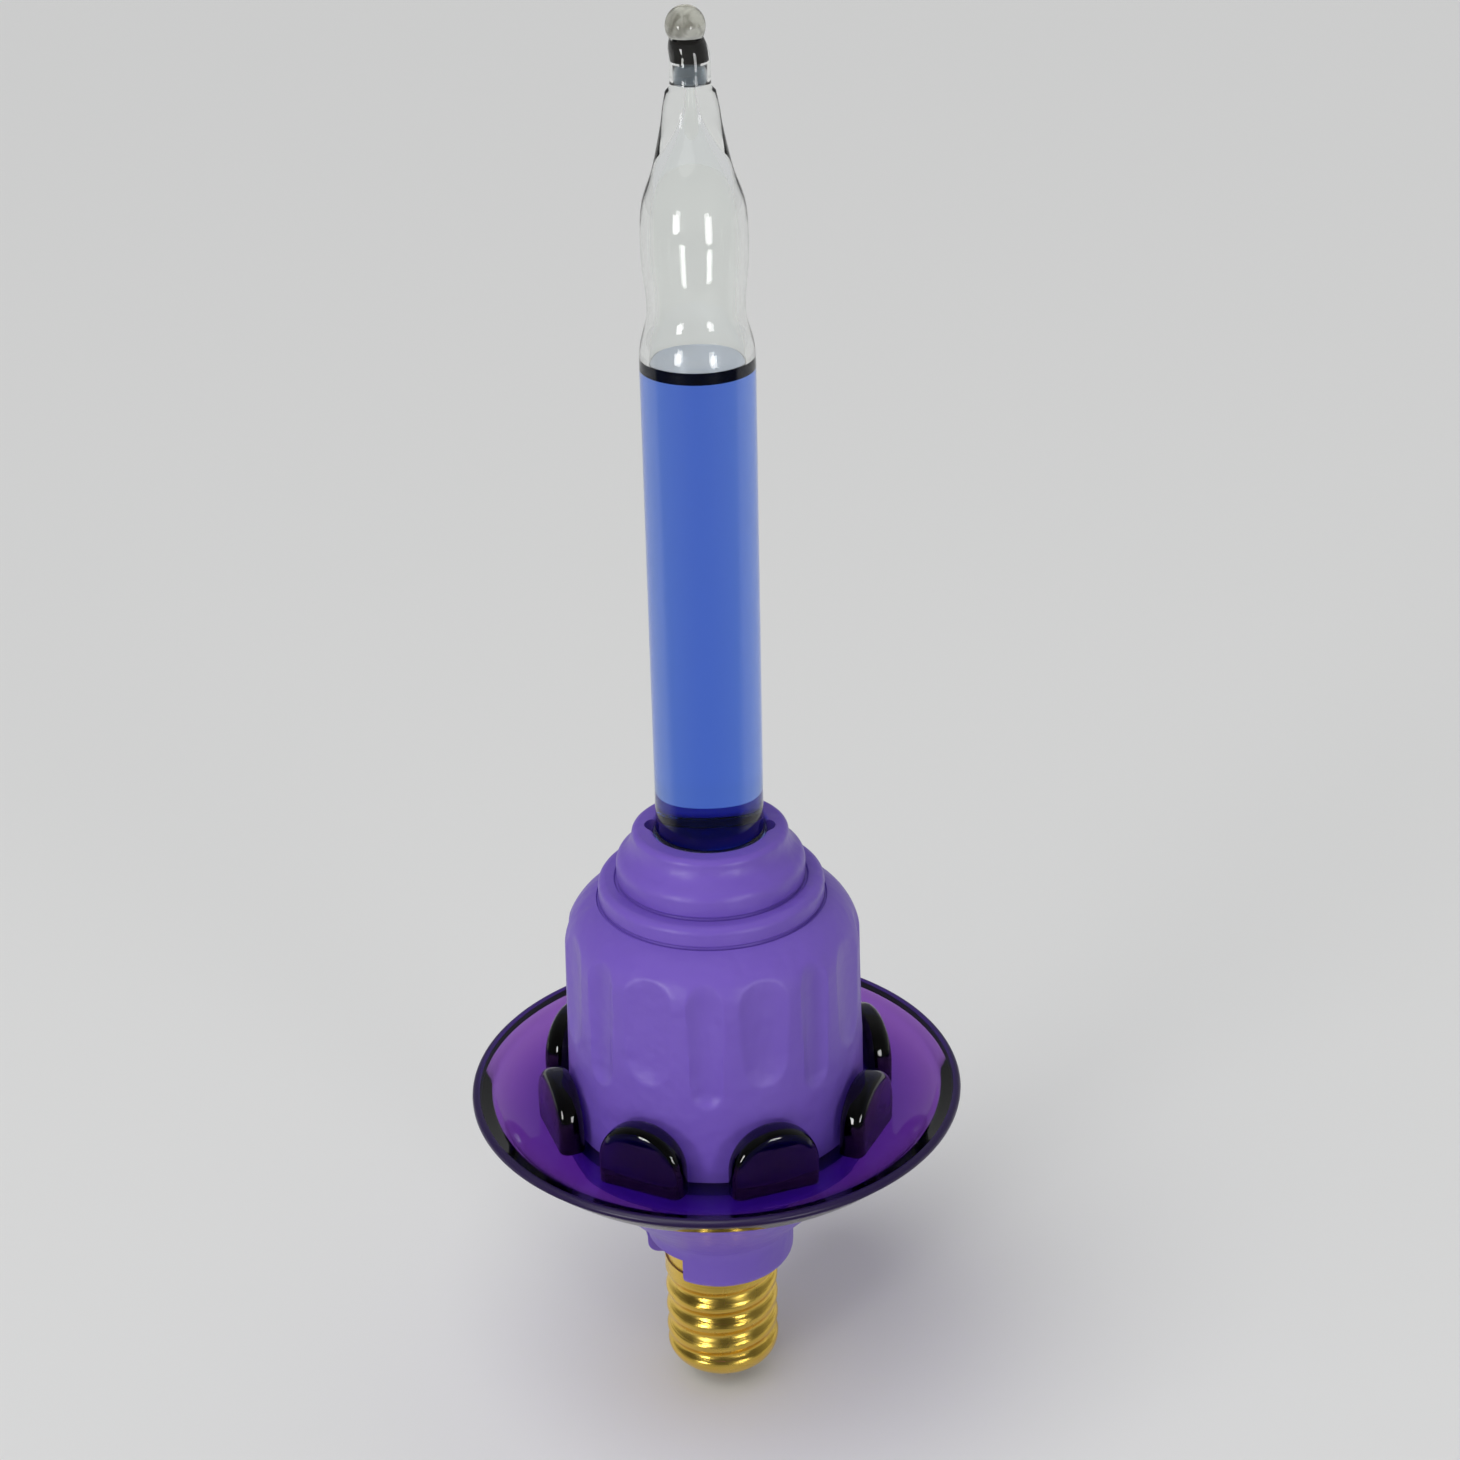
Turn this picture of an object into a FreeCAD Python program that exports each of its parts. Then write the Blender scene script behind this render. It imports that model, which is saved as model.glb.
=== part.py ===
import FreeCAD, Part
import math
import os
import re

import Sketcher

os.makedirs("parts", exist_ok=True)
doc = FreeCAD.newDocument("bubble_light")

# Sizes in millimetres. The light stands on its centre contact, which is the origin, with +Z up its axis.
# Of the eight tabs, two stand either side of the front, which is -Y.

SIZES = {
    # Centre contact and insulator
    "contact_radius": 1.5,
    "contact_height": 0.8,
    "eyelet_radius": 2.3,
    "eyelet_thick": 0.3,
    "wire_hole_radius": 0.6,
    "insulator_drop": 1.3,
    "insulator_cover": 1.3,
    # Screw shell
    "crest_radius": 5.88,
    "root_radius": 5.35,
    "shell_bore": 5.0,
    "lip_radius": 3.8,
    "lip_height": 2.4,
    "lip_floor": 0.9,
    "thread_length": 9.4,
    "thread_pitch": 2.54,
    "thread_round": 0.85,
    "thread_relief": 0.05,
    "ridge_sink": 0.3,
    "plain_band": 1.4,
    "seat_radius": 5.7,
    "seat_height": 3.4,
    # Lower housing
    "fit_gap": 0.05,
    "collar_foot_wall": 0.55,
    "collar_round": 1.25,
    "collar_radius": 7.6,
    "collar_height": 3.4,
    "flare_step": 0.9,
    "flare_rise": 2.0,
    "cone_width": 5.5,
    "cone_height": 6.2,
    "cup_height": 3.6,
    "flange_radius": 15.6,
    "flange_thick": 1.2,
    "housing_wall": 1.4,
    "spigot_wall": 1.4,
    "spigot_height": 5.8,
    "slot_angle": 54.0,
    "slot_turn": -144.5,
    "slot_height": 3.2,
    # Drip saucer
    "saucer_thick": 2.2,
    "floor_margin": 0.9,
    "saucer_rise": 2.5,
    "rise_width": 3.95,
    "rim_wall": 1.5,
    "rim_lip": 0.85,
    "rim_edge": 0.45,
    "rim_land": 2.1,
    "rim_drop": 0.7,
    "tab_count": 8,
    "tab_gap": 0.2,
    "tab_thick": 2.6,
    "tab_width": 8.9,
    "tab_height": 6.8,
    "tab_turn": 22.5,
    # Dome cover, from the foot up
    "dome_radius": 14.9,
    "dome_draft": 0.35,
    "dome_wall": 1.45,
    "dome_height": 31.2,
    "shoulder_height": 4.9,
    "lower_tier_radius": 11.05,
    "lower_tier_height": 2.1,
    "upper_tier_radius": 9.2,
    "upper_tier_wall": 1.53,
    "tier_round": 0.8,
    "brow_radius": 8.6,
    "brow_height": 1.17,
    "top_ring_radius": 7.6,
    "cove_height": 1.95,
    "top_round": 0.65,
    "hole_radius": 5.55,
    "hole_round": 0.4,
    "notch_radius": 1.35,
    "notch_reach": 0.8,
    "notch_depth": 3.2,
    # Flutes in the dome's wall
    "flute_pairs": 8,
    "flute_lean": 2.2,
    "wide_flute_round": 9.0,
    "wide_flute_depth": 0.6,
    "wide_flute_foot": 9.3,
    "narrow_flute_round": 3.2,
    "narrow_flute_depth": 0.5,
    "narrow_flute_foot": 7.9,
    # Glass vial
    "vial_radius": 5.2,
    "vial_wall": 0.9,
    "vial_length": 51.5,
    "tuck_radius": 5.09,
    "tuck_rise": 2.8,
    "waist_radius": 4.38,
    "waist_rise": 3.1,
    "bulge_radius": 4.75,
    "bulge_rise": 6.0,
    "cone_radius": 4.47,
    "cone_rise": 3.8,
    "slope_radius": 3.52,
    "slope_rise": 2.75,
    "drawn_radius": 2.69,
    "drawn_rise": 3.65,
    "neck_flare_radius": 2.2,
    "neck_flare_rise": 2.8,
    "neck_radius": 1.77,
    "neck_step": 0.5,
    "neck_length": 4.1,
    "knob_waist_radius": 1.47,
    "knob_radius": 1.74,
    "throat_radius": 0.35,
    "chamber_radius": 1.05,
    "chamber_lift": 0.1,
    "neck_fluid_height": 1.8,
    # Fluid in the vial and glue round its foot
    "fluid_level": 46.7,
    "meniscus_rise": 0.9,
    "meniscus_width": 1.3,
    "glue_depth": 0.8,
    "glue_climb": 0.35,
    # Lamp
    "lamp_lift": 2.4,
    "lamp_gap": 1.2,
    "lamp_radius": 9.0,
    "lamp_neck_radius": 4.2,
    "lamp_neck_height": 13.0,
    "lamp_glass": 0.6,
    "stem_radius": 2.2,
    "stem_foot": 1.0,
    "stem_height": 14.0,
    "cement_height": 8.0,
    "lead_radius": 0.3,
    "lead_spread": 1.1,
    "lead_splay": 3.5,
    "lead_height": 12.0,
    "filament_radius": 0.25,
    "filament_rise": 2.5,
    "support_radius": 0.15,
    "solder_radius": 0.9,
    "solder_thick": 1.0,
}

# Heights above the origin and radii that several pieces share, each worked out from the sizes.

WORKED = {
    "eyelet_top": "contact_height + eyelet_thick",
    "shell_foot": "eyelet_top + insulator_drop",
    "insulator_top": "shell_foot + lip_floor + insulator_cover",
    "thread_foot": "shell_foot + lip_height",
    "thread_top": "thread_foot + thread_length",
    "collar_foot": "thread_top + plain_band",
    "shell_top": "collar_foot + seat_height",
    "collar_bore": "seat_radius + fit_gap",
    "flare_foot": "collar_foot + collar_height",
    "flare_top": "flare_foot + flare_rise",
    "cone_foot_radius": "collar_radius + flare_step",
    "cone_top_radius": "cone_foot_radius + cone_width",
    "cone_top": "flare_top + cone_height",
    "flange_foot": "cone_top + cup_height",
    "saucer_foot": "flange_foot + flange_thick",
    "saucer_floor": "saucer_foot + saucer_thick",
    "rim_top": "saucer_floor + saucer_rise",
    "dome_top": "saucer_floor + dome_height",
    "cove_top": "dome_top - top_round",
    "brow_top": "cove_top - cove_height",
    "brow_foot": "brow_top - brow_height",
    "upper_tier_foot": "brow_foot - upper_tier_wall",
    "lower_tier_foot": "upper_tier_foot - lower_tier_height",
    "shoulder_foot": "lower_tier_foot - shoulder_height",
    "shoulder_radius": "dome_radius - dome_draft",
    "dome_bore": "shoulder_radius - dome_wall",
    "spigot_radius": "dome_bore - fit_gap",
    "spigot_top": "saucer_floor + spigot_height",
    "tab_inside": "dome_radius + tab_gap",
    "tab_outside": "tab_inside + tab_thick",
    "saucer_floor_radius": "tab_outside + floor_margin",
    "saucer_radius": "saucer_floor_radius + rise_width + rim_land",
    "glue_top": "dome_top - hole_round",
    "glue_foot": "glue_top - glue_depth",
    "vial_foot": "glue_foot - vial_radius",
    "vial_tube_top": "vial_foot + vial_length",
    "cavity_radius": "vial_radius - vial_wall",
    "neck_flare": "vial_tube_top + tuck_rise + waist_rise + bulge_rise + cone_rise"
                  " + slope_rise + drawn_rise + neck_flare_rise",
    "neck_foot": "neck_flare + neck_step",
    "neck_top": "neck_foot + neck_length",
    "chamber_foot": "neck_foot + chamber_lift",
    "neck_fluid_top": "chamber_foot + neck_fluid_height",
    "fluid_top": "glue_foot + fluid_level",
    "lamp_foot": "insulator_top + lamp_lift",
    "lamp_neck_top": "lamp_foot + lamp_neck_height",
    "lamp_top": "vial_foot - lamp_gap",
    "lamp_belly": "lamp_top - lamp_radius",
    "stem_top": "lamp_foot + stem_height",
    "lead_top": "stem_top + lead_height",
    "lead_turn": "insulator_top + lamp_lift / 2",
}

FUNCTIONS = {"sqrt", "cos", "sin", "placement", "vector", "rotation"}
WORD = re.compile(r"\b[a-z][a-z_]*\b")


def bound(formula):
    """A formula as the objects of the document write it, each name with the sheet that holds it."""
    def cell(match):
        word = match.group()
        if word in FUNCTIONS:
            return word
        return ("Worked." if word in WORKED else "Sizes.") + word
    return WORD.sub(cell, formula)


sizes = doc.addObject("Spreadsheet::Sheet", "Sizes")
for row, (alias, number) in enumerate(SIZES.items(), start=1):
    sizes.set("A%d" % row, alias)
    sizes.set("B%d" % row, str(number))
    sizes.setAlias("B%d" % row, alias)
doc.recompute()

worked = doc.addObject("Spreadsheet::Sheet", "Worked")
for row, (alias, formula) in enumerate(WORKED.items(), start=1):
    worked.set("A%d" % row, alias)
    worked.set("B%d" % row, "=" + bound(formula))
    worked.setAlias("B%d" % row, alias)
    worked.recompute()
answer = doc.addObject("Spreadsheet::Sheet", "Answer")
doc.recompute()


def value(formula):
    """What a formula of the sizes comes to."""
    answer.set("A1", "=" + bound(formula))
    answer.recompute()
    number = answer.get("A1")
    return float(getattr(number, "Value", number))


def fix(sketch, kind, where, formula):
    """Adds one dimension to a sketch and ties it to the sheets."""
    index = sketch.addConstraint(Sketcher.Constraint(kind, *where, value(formula)))
    sketch.setExpression("Constraints[%d]" % index, bound(formula))


def draw(sketch, points, arcs=None, closed=True):
    """Draws a line through points, each a pair of formulas.

    arcs names each side that is round, by the number of the point where it starts. An arc's centre
    is level with its start or end, or plumb above or below it, so the arc leaves that end squarely.
    """
    arcs = arcs or {}
    spots = [FreeCAD.Vector(value(x), value(y), 0) for x, y in points]
    sides = len(points) if closed else len(points) - 1
    ends = []
    for side in range(sides):
        start = spots[side]
        end = spots[(side + 1) % len(spots)]
        ends.append((1, 2))
        if side not in arcs:
            sketch.addGeometry(Part.LineSegment(start, end), False)
            continue
        way, where = arcs[side]
        here, there = (start, end) if where == "start" else (end, start)
        way_in = FreeCAD.Vector(1, 0, 0) if way == "level" else FreeCAD.Vector(0, 1, 0)
        chord = there - here
        reach = chord.dot(chord) / (2 * chord.dot(way_in))
        centre = here + way_in * reach
        middle = centre + ((start + end) * 0.5 - centre).normalize() * abs(reach)
        sketch.addGeometry(Part.Arc(start, middle, end), False)
        if (sketch.getPoint(side, 1) - start).Length > (sketch.getPoint(side, 2) - start).Length:
            ends[side] = (2, 1)
    for side in range(sides if closed else sides - 1):
        after = (side + 1) % sides
        sketch.addConstraint(Sketcher.Constraint("Coincident", side, ends[side][1], after, ends[after][0]))
    for side, (way, where) in arcs.items():
        kind = "Horizontal" if way == "level" else "Vertical"
        sketch.addConstraint(Sketcher.Constraint(kind, side, 3, side, ends[side][where == "end"]))
    for number, (x, y) in enumerate(points):
        side, end = (number, ends[number][0]) if number < sides else (sides - 1, ends[-1][1])
        fix(sketch, "DistanceX", (-1, 1, side, end), x)
        fix(sketch, "DistanceY", (-1, 1, side, end), y)


def new_body(label):
    body = doc.addObject("PartDesign::Body", label)
    body.Label = label
    return body


def new_sketch(body, name, role="XZ_Plane"):
    sketch = body.newObject("Sketcher::SketchObject", name)
    origin_plane = next(item for item in body.Origin.OriginFeatures if item.Role == role)
    sketch.AttachmentSupport = [(origin_plane, "")]
    sketch.MapMode = "FlatFace"
    return sketch


def spin(body, kind, name, points, arcs=None, angle="360"):
    """Turns a section about the body's axis: kind is Revolution to add, or Groove to cut."""
    sketch = new_sketch(body, name + "_section")
    draw(sketch, points, arcs)
    feature = body.newObject("PartDesign::" + kind, name)
    feature.Profile = sketch
    feature.ReferenceAxis = (sketch, ["V_Axis"])
    feature.setExpression("Angle", bound(angle))
    feature.Midplane = angle != "360"
    body.Tip = feature
    return feature


def turned(label, points, arcs=None):
    """A piece that is one turned section."""
    body = new_body(label)
    spin(body, "Revolution", label + "_turned", points, arcs)
    return body


def around(body, name, features, count):
    """Repeats features of a body evenly about its axis."""
    pattern = body.newObject("PartDesign::PolarPattern", name)
    pattern.Originals = features
    axis = next(item for item in body.Origin.OriginFeatures if item.Role == "Z_Axis")
    pattern.Axis = (axis, [""])
    pattern.Angle = 360
    pattern.setExpression("Occurrences", bound(count))
    body.Tip = pattern
    return pattern


def rod(label, radius, low, high):
    """A round rod on the axis."""
    part = doc.addObject("Part::Cylinder", label)
    part.Label = label
    part.setExpression("Radius", bound(radius))
    part.setExpression("Height", bound("%s - %s" % (high, low)))
    part.setExpression("Placement.Base.z", bound(low))
    return part


def boolean(kind, label, base, tool):
    """A Cut or a Common of two objects."""
    part = doc.addObject("Part::" + kind, label)
    part.Label = label
    part.Base = base
    part.Tool = tool
    return part


def bent_wire(label, radius, points):
    """A round wire in the plane across the lamp, along a line through points."""
    path = doc.addObject("Sketcher::SketchObject", label + "_path")
    path.Placement = FreeCAD.Placement(FreeCAD.Vector(), FreeCAD.Rotation(FreeCAD.Vector(1, 0, 0), 90))
    draw(path, points, closed=False)
    ring = doc.addObject("Part::Circle", label + "_ring")
    ring.setExpression("Radius", bound(radius))
    start, after = [FreeCAD.Vector(value(x), 0, value(z)) for x, z in points[:2]]
    ring.Placement.Rotation = FreeCAD.Rotation(FreeCAD.Vector(0, 0, 1), after - start)
    ring.setExpression("Placement.Base.x", bound(points[0][0]))
    ring.setExpression("Placement.Base.z", bound(points[0][1]))
    wire = doc.addObject("Part::Sweep", label)
    wire.Label = label
    wire.Sections = [ring]
    wire.Spine = (path, [])
    wire.Solid = True
    wire.Frenet = False
    wire.Transition = "Right corner"
    return wire


# Centre contact: a dome of solder on a brass eyelet.

contact_solder = turned(
    "contact_solder",
    [("0", "0"), ("contact_radius", "contact_height"), ("0", "contact_height")],
    {0: ("plumb", "start")},
)

contact_eyelet = turned(
    "contact_eyelet",
    [
        ("wire_hole_radius", "contact_height"),
        ("eyelet_radius", "contact_height"),
        ("eyelet_radius", "eyelet_top"),
        ("wire_hole_radius", "eyelet_top"),
    ],
)

# Insulator: a cone from the eyelet to the lip of the shell, and a plug that sits on the lip inside.

base_insulator = turned(
    "base_insulator",
    [
        ("wire_hole_radius", "eyelet_top"),
        ("eyelet_radius", "eyelet_top"),
        ("lip_radius - fit_gap", "shell_foot"),
        ("lip_radius - fit_gap", "shell_foot + lip_floor"),
        ("shell_bore - fit_gap", "shell_foot + lip_floor"),
        ("shell_bore - fit_gap", "insulator_top"),
        ("wire_hole_radius", "insulator_top"),
    ],
)

# Screw shell: a turned blank with a rounded lip and a plain band, and a round ridge wound up the root.

shell_blank = turned(
    "shell_blank",
    [
        ("lip_radius", "shell_foot"),
        ("crest_radius", "thread_foot"),
        ("root_radius", "thread_foot"),
        ("root_radius", "thread_top"),
        ("crest_radius", "thread_top"),
        ("crest_radius", "collar_foot"),
        ("seat_radius", "collar_foot"),
        ("seat_radius", "shell_top"),
        ("lip_radius", "shell_top"),
    ],
    {0: ("level", "end")},
)
RIDGE_CENTRE = "crest_radius - thread_relief - thread_round"
RIDGE_FOOT = "thread_foot - ridge_sink"
thread_line = doc.addObject("Part::Helix", "thread_line")
thread_line.setExpression("Pitch", bound("thread_pitch"))
thread_line.setExpression("Height", bound("thread_length + 2 * ridge_sink"))
thread_line.setExpression("Radius", bound(RIDGE_CENTRE))
thread_line.setExpression("Placement.Base.z", bound(RIDGE_FOOT))
thread_section = doc.addObject("Part::Circle", "thread_section")
thread_section.setExpression("Radius", bound("thread_round"))
thread_section.Placement.Rotation = FreeCAD.Rotation(FreeCAD.Vector(1, 0, 0), 90)
thread_section.setExpression("Placement.Base.x", bound(RIDGE_CENTRE))
thread_section.setExpression("Placement.Base.z", bound(RIDGE_FOOT))
thread_ridge = doc.addObject("Part::Sweep", "thread_ridge")
thread_ridge.Sections = [thread_section]
thread_ridge.Spine = (thread_line, [])
thread_ridge.Solid = True
thread_ridge.Frenet = True
shell_outside = boolean("Fuse", "shell_outside", shell_blank, thread_ridge)
shell_hollow = rod("shell_hollow", "shell_bore", "(shell_foot + lip_floor)", "shell_top")
screw_shell = boolean("Cut", "screw_shell", shell_outside, shell_hollow)

# Lower housing: collar round the shell, flare, flange under the saucer, and the spigot that carries the dome.

lower_housing = turned(
    "lower_housing",
    [
        ("collar_bore", "collar_foot"),
        ("collar_bore + collar_foot_wall", "collar_foot"),
        ("collar_radius", "collar_foot + collar_round"),
        ("collar_radius", "flare_foot"),
        ("cone_foot_radius", "flare_top"),
        ("cone_top_radius", "cone_top"),
        ("flange_radius", "flange_foot"),
        ("flange_radius", "saucer_foot"),
        ("spigot_radius", "saucer_foot"),
        ("spigot_radius", "spigot_top"),
        ("spigot_radius - spigot_wall", "spigot_top"),
        ("spigot_radius - spigot_wall", "flange_foot"),
        ("flange_radius - housing_wall", "flange_foot"),
        ("cone_top_radius - housing_wall", "cone_top + housing_wall / 2"),
        ("cone_foot_radius - housing_wall", "flare_top + housing_wall / 2"),
        ("collar_bore", "flare_top + housing_wall / 2"),
    ],
    {1: ("level", "end"), 3: ("level", "start"), 5: ("level", "end"), 12: ("level", "start")},
)
housing_slot = spin(
    lower_housing,
    "Groove",
    "housing_slot",
    [
        ("collar_bore - fit_gap", "collar_foot - fit_gap"),
        ("collar_radius + fit_gap", "collar_foot - fit_gap"),
        ("collar_radius + fit_gap", "collar_foot + slot_height"),
        ("collar_bore - fit_gap", "collar_foot + slot_height"),
    ],
    angle="slot_angle",
)
lower_housing.setExpression("Placement", bound("placement(vector(0; 0; 0); rotation(vector(0; 0; 1); slot_turn))"))

# Drip saucer: a shallow dish with a flat land round its rim, and the ring of upright tabs moulded on it.

drip_saucer = turned(
    "drip_saucer",
    [
        ("spigot_radius + fit_gap", "saucer_foot"),
        ("saucer_floor_radius", "saucer_foot"),
        ("saucer_radius - rim_land", "rim_top - rim_drop - rim_wall"),
        ("saucer_radius - rim_edge", "rim_top - rim_lip"),
        ("saucer_radius", "rim_top - rim_edge"),
        ("saucer_radius - rim_edge", "rim_top"),
        ("saucer_radius - rim_land", "rim_top - rim_drop"),
        ("saucer_floor_radius", "saucer_floor"),
        ("spigot_radius + fit_gap", "saucer_floor"),
    ],
    {1: ("plumb", "start"), 4: ("level", "start"), 6: ("plumb", "end")},
)
tab_face = new_sketch(drip_saucer, "tab_face", "YZ_Plane")
draw(
    tab_face,
    [
        ("-tab_width / 2", "saucer_floor - saucer_thick / 2"),
        ("tab_width / 2", "saucer_floor - saucer_thick / 2"),
        ("tab_width / 2", "saucer_floor + tab_height - tab_width / 2"),
        ("0", "saucer_floor + tab_height"),
        ("-tab_width / 2", "saucer_floor + tab_height - tab_width / 2"),
    ],
    {2: ("level", "start"), 3: ("level", "end")},
)
tab_face.setExpression("AttachmentOffset.Base.z", bound("tab_inside"))
tab = drip_saucer.newObject("PartDesign::Pad", "tab")
tab.Profile = tab_face
tab.setExpression("Length", bound("tab_thick"))
drip_saucer.Tip = tab
tabs = around(drip_saucer, "tabs", [tab], "tab_count")
drip_saucer.setExpression("Placement", bound("placement(vector(0; 0; 0); rotation(vector(0; 0; 1); tab_turn))"))

# Dome cover: a stepped, hollow dome with a hole for the vial, two notches in the hole's edge, and flutes.

dome_cover = turned(
    "dome_cover",
    [
        ("dome_radius", "saucer_floor"),
        ("shoulder_radius", "shoulder_foot"),
        ("lower_tier_radius", "lower_tier_foot"),
        ("lower_tier_radius", "upper_tier_foot - tier_round"),
        ("lower_tier_radius - tier_round", "upper_tier_foot"),
        ("upper_tier_radius", "upper_tier_foot"),
        ("upper_tier_radius", "brow_foot"),
        ("brow_radius", "brow_top"),
        ("top_ring_radius", "cove_top"),
        ("top_ring_radius - top_round", "dome_top"),
        ("hole_radius + hole_round", "dome_top"),
        ("hole_radius", "dome_top - hole_round"),
        ("hole_radius", "brow_top - dome_wall"),
        ("upper_tier_radius - dome_wall", "brow_top - dome_wall"),
        ("upper_tier_radius - dome_wall", "upper_tier_foot - dome_wall"),
        ("lower_tier_radius - dome_wall", "upper_tier_foot - dome_wall"),
        ("lower_tier_radius - dome_wall", "lower_tier_foot - dome_wall"),
        ("dome_bore", "shoulder_foot"),
        ("dome_bore", "saucer_floor"),
    ],
    {
        1: ("level", "start"),
        3: ("level", "start"),
        6: ("level", "start"),
        7: ("level", "end"),
        8: ("level", "start"),
        10: ("level", "end"),
        16: ("level", "end"),
    },
)


def dome_cutter(kind, name, place, turn, tip, **dimensions):
    """One round cutter of the dome, at a place (out, height) from the axis, leaning in by tip."""
    out, height = place
    cutter = dome_cover.newObject("PartDesign::Subtractive" + kind, name)
    for dimension, formula in dimensions.items():
        cutter.setExpression(dimension, bound(formula))
    spot = "placement(vector((%s) * cos(%s); (%s) * sin(%s); %s); rotation(vector(0; 0; 1); %s)" % (
        out, turn, out, turn, height, turn)
    cutter.setExpression("Placement", bound(spot + " * rotation(vector(0; 1; 0); -%s))" % tip))
    dome_cover.Tip = cutter
    return cutter


notch = dome_cutter(
    "Cylinder",
    "notch",
    ("hole_radius + notch_reach - notch_radius", "dome_top - notch_depth"),
    "0",
    "0",
    Radius="notch_radius",
    Height="notch_depth + notch_radius",
)
around(dome_cover, "notches", [notch], "2")
for name, turn in [("narrow", "0"), ("wide", "180 / flute_pairs")]:
    bend = name + "_flute_round"
    depth = name + "_flute_depth"
    # The cutter's round end cuts as deep as the flute, so its rim lies this far below its centre.
    drop = "sqrt(2 * %s * %s)" % (bend, depth)
    place = (
        "dome_radius - %s + %s" % (depth, bend),
        "saucer_floor + %s_flute_foot + %s" % (name, drop),
    )
    body_cut = dome_cutter(
        "Cylinder", name + "_flute", place, turn, "flute_lean", Radius=bend, Height="dome_height"
    )
    end_cut = dome_cutter("Sphere", name + "_flute_end", place, turn, "flute_lean", Radius=bend)
    around(dome_cover, name + "_flutes", [body_cut, end_cut], "flute_pairs")

# Glass vial: a blown tube with a round foot, a waist, a bulge, a drawn neck and a sealed knob.
# The head is a smooth curve through its widest and narrowest places and where its slope changes.

HEAD = ["tuck", "waist", "bulge", "cone", "slope", "drawn", "neck_flare"]
UPRIGHT = {"waist", "bulge"}


def up_the_head(inset, last):
    """The head's curve as an edge, set in by the glass's thickness, up to the place named last."""
    spots = [FreeCAD.Vector(value("vial_radius - %s" % inset), 0, value("vial_tube_top"))]
    slopes = [FreeCAD.Vector(0, 0, 1)]
    known = [True]
    height = spots[0].z
    for place in HEAD[:HEAD.index(last) + 1]:
        height += value(place + "_rise")
        spots.append(FreeCAD.Vector(value("%s_radius - %s" % (place, inset)), 0, height))
        slopes.append(FreeCAD.Vector(0, 0, 1))
        known.append(place in UPRIGHT)
    curve = Part.BSplineCurve()
    curve.interpolate(Points=spots, Tangents=slopes, TangentFlags=known)
    return curve.toShape()


def round_foot(radius, centre):
    """A quarter circle from the axis out to the tube."""
    low = FreeCAD.Vector(0, 0, centre - radius)
    middle = FreeCAD.Vector(radius * math.sin(math.pi / 4), 0, centre - radius * math.cos(math.pi / 4))
    return Part.Arc(low, middle, FreeCAD.Vector(radius, 0, centre)).toShape()


def spun_solid(label, edges):
    """The solid that a run of edges, from the axis back to the axis, makes when it is spun."""
    start = edges[0].firstVertex().Point
    end = edges[-1].lastVertex().Point
    wire = Part.Wire(edges + [Part.makeLine(end, start)])
    part = doc.addObject("Part::Feature", label)
    part.Shape = Part.Face(wire).revolve(FreeCAD.Vector(), FreeCAD.Vector(0, 0, 1), 360)
    part.Placement = FreeCAD.Placement()
    return part


def straight_on(edges, *points):
    """Carries a run of edges on through points, each a pair of formulas (radius, height)."""
    at = edges[-1].lastVertex().Point
    for radius, height in points:
        spot = FreeCAD.Vector(value(radius), 0, value(height))
        edges.append(Part.makeLine(at, spot))
        at = spot
    return edges


knob_lift = math.sqrt(value("knob_radius") ** 2 - value("knob_waist_radius") ** 2)
knob_centre = value("neck_top") + knob_lift
outside = [round_foot(value("vial_radius"), value("glue_foot"))]
straight_on(outside, ("vial_radius", "vial_tube_top"))
outside.append(up_the_head("0", "neck_flare"))
straight_on(
    outside,
    ("neck_radius", "neck_foot"),
    ("neck_radius", "neck_top - neck_step"),
    ("knob_waist_radius", "neck_top"),
)
outside.append(
    Part.Arc(
        outside[-1].lastVertex().Point,
        FreeCAD.Vector(value("knob_radius"), 0, knob_centre),
        FreeCAD.Vector(0, 0, knob_centre + value("knob_radius")),
    ).toShape()
)
vial_outside = spun_solid("vial_outside", outside)

inside = [round_foot(value("cavity_radius"), value("glue_foot"))]
straight_on(inside, ("cavity_radius", "vial_tube_top"))
inside.append(up_the_head("vial_wall", "drawn"))
straight_on(
    inside,
    ("throat_radius", "neck_flare - neck_step"),
    ("throat_radius", "chamber_foot"),
    ("chamber_radius", "chamber_foot"),
    ("chamber_radius", "neck_top"),
    ("0", "neck_top"),
)
vial_cavity = spun_solid("vial_cavity", inside)
glass_vial = boolean("Cut", "glass_vial", vial_outside, vial_cavity)

# Fluid: it fills the tube and climbs the glass a little, and two drops stay in the neck's chamber.

fluid_block = turned(
    "fluid_block",
    [
        ("0", "vial_foot"),
        ("vial_radius", "vial_foot"),
        ("vial_radius", "fluid_top + meniscus_rise"),
        ("cavity_radius", "fluid_top + meniscus_rise"),
        ("cavity_radius - meniscus_width", "fluid_top"),
        ("0", "fluid_top"),
    ],
    {3: ("plumb", "end")},
)
vial_fluid = boolean("Common", "vial_fluid", vial_cavity, fluid_block)
neck_fluid = rod("neck_fluid", "chamber_radius", "chamber_foot", "neck_fluid_top")
neck_residue = rod("neck_residue", "chamber_radius", "neck_fluid_top", "neck_top")

# Glue: a clear ring between the vial and the hole, with its top drawn up the glass.

vial_glue = turned(
    "vial_glue",
    [
        ("vial_radius", "glue_foot"),
        ("hole_radius", "glue_foot"),
        ("hole_radius", "glue_top"),
        ("vial_radius", "glue_top + glue_climb"),
    ],
)

# Lamp that warms the vial: blown bulb, pressed stem, leads, filament and its support, cement in the shell.

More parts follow.
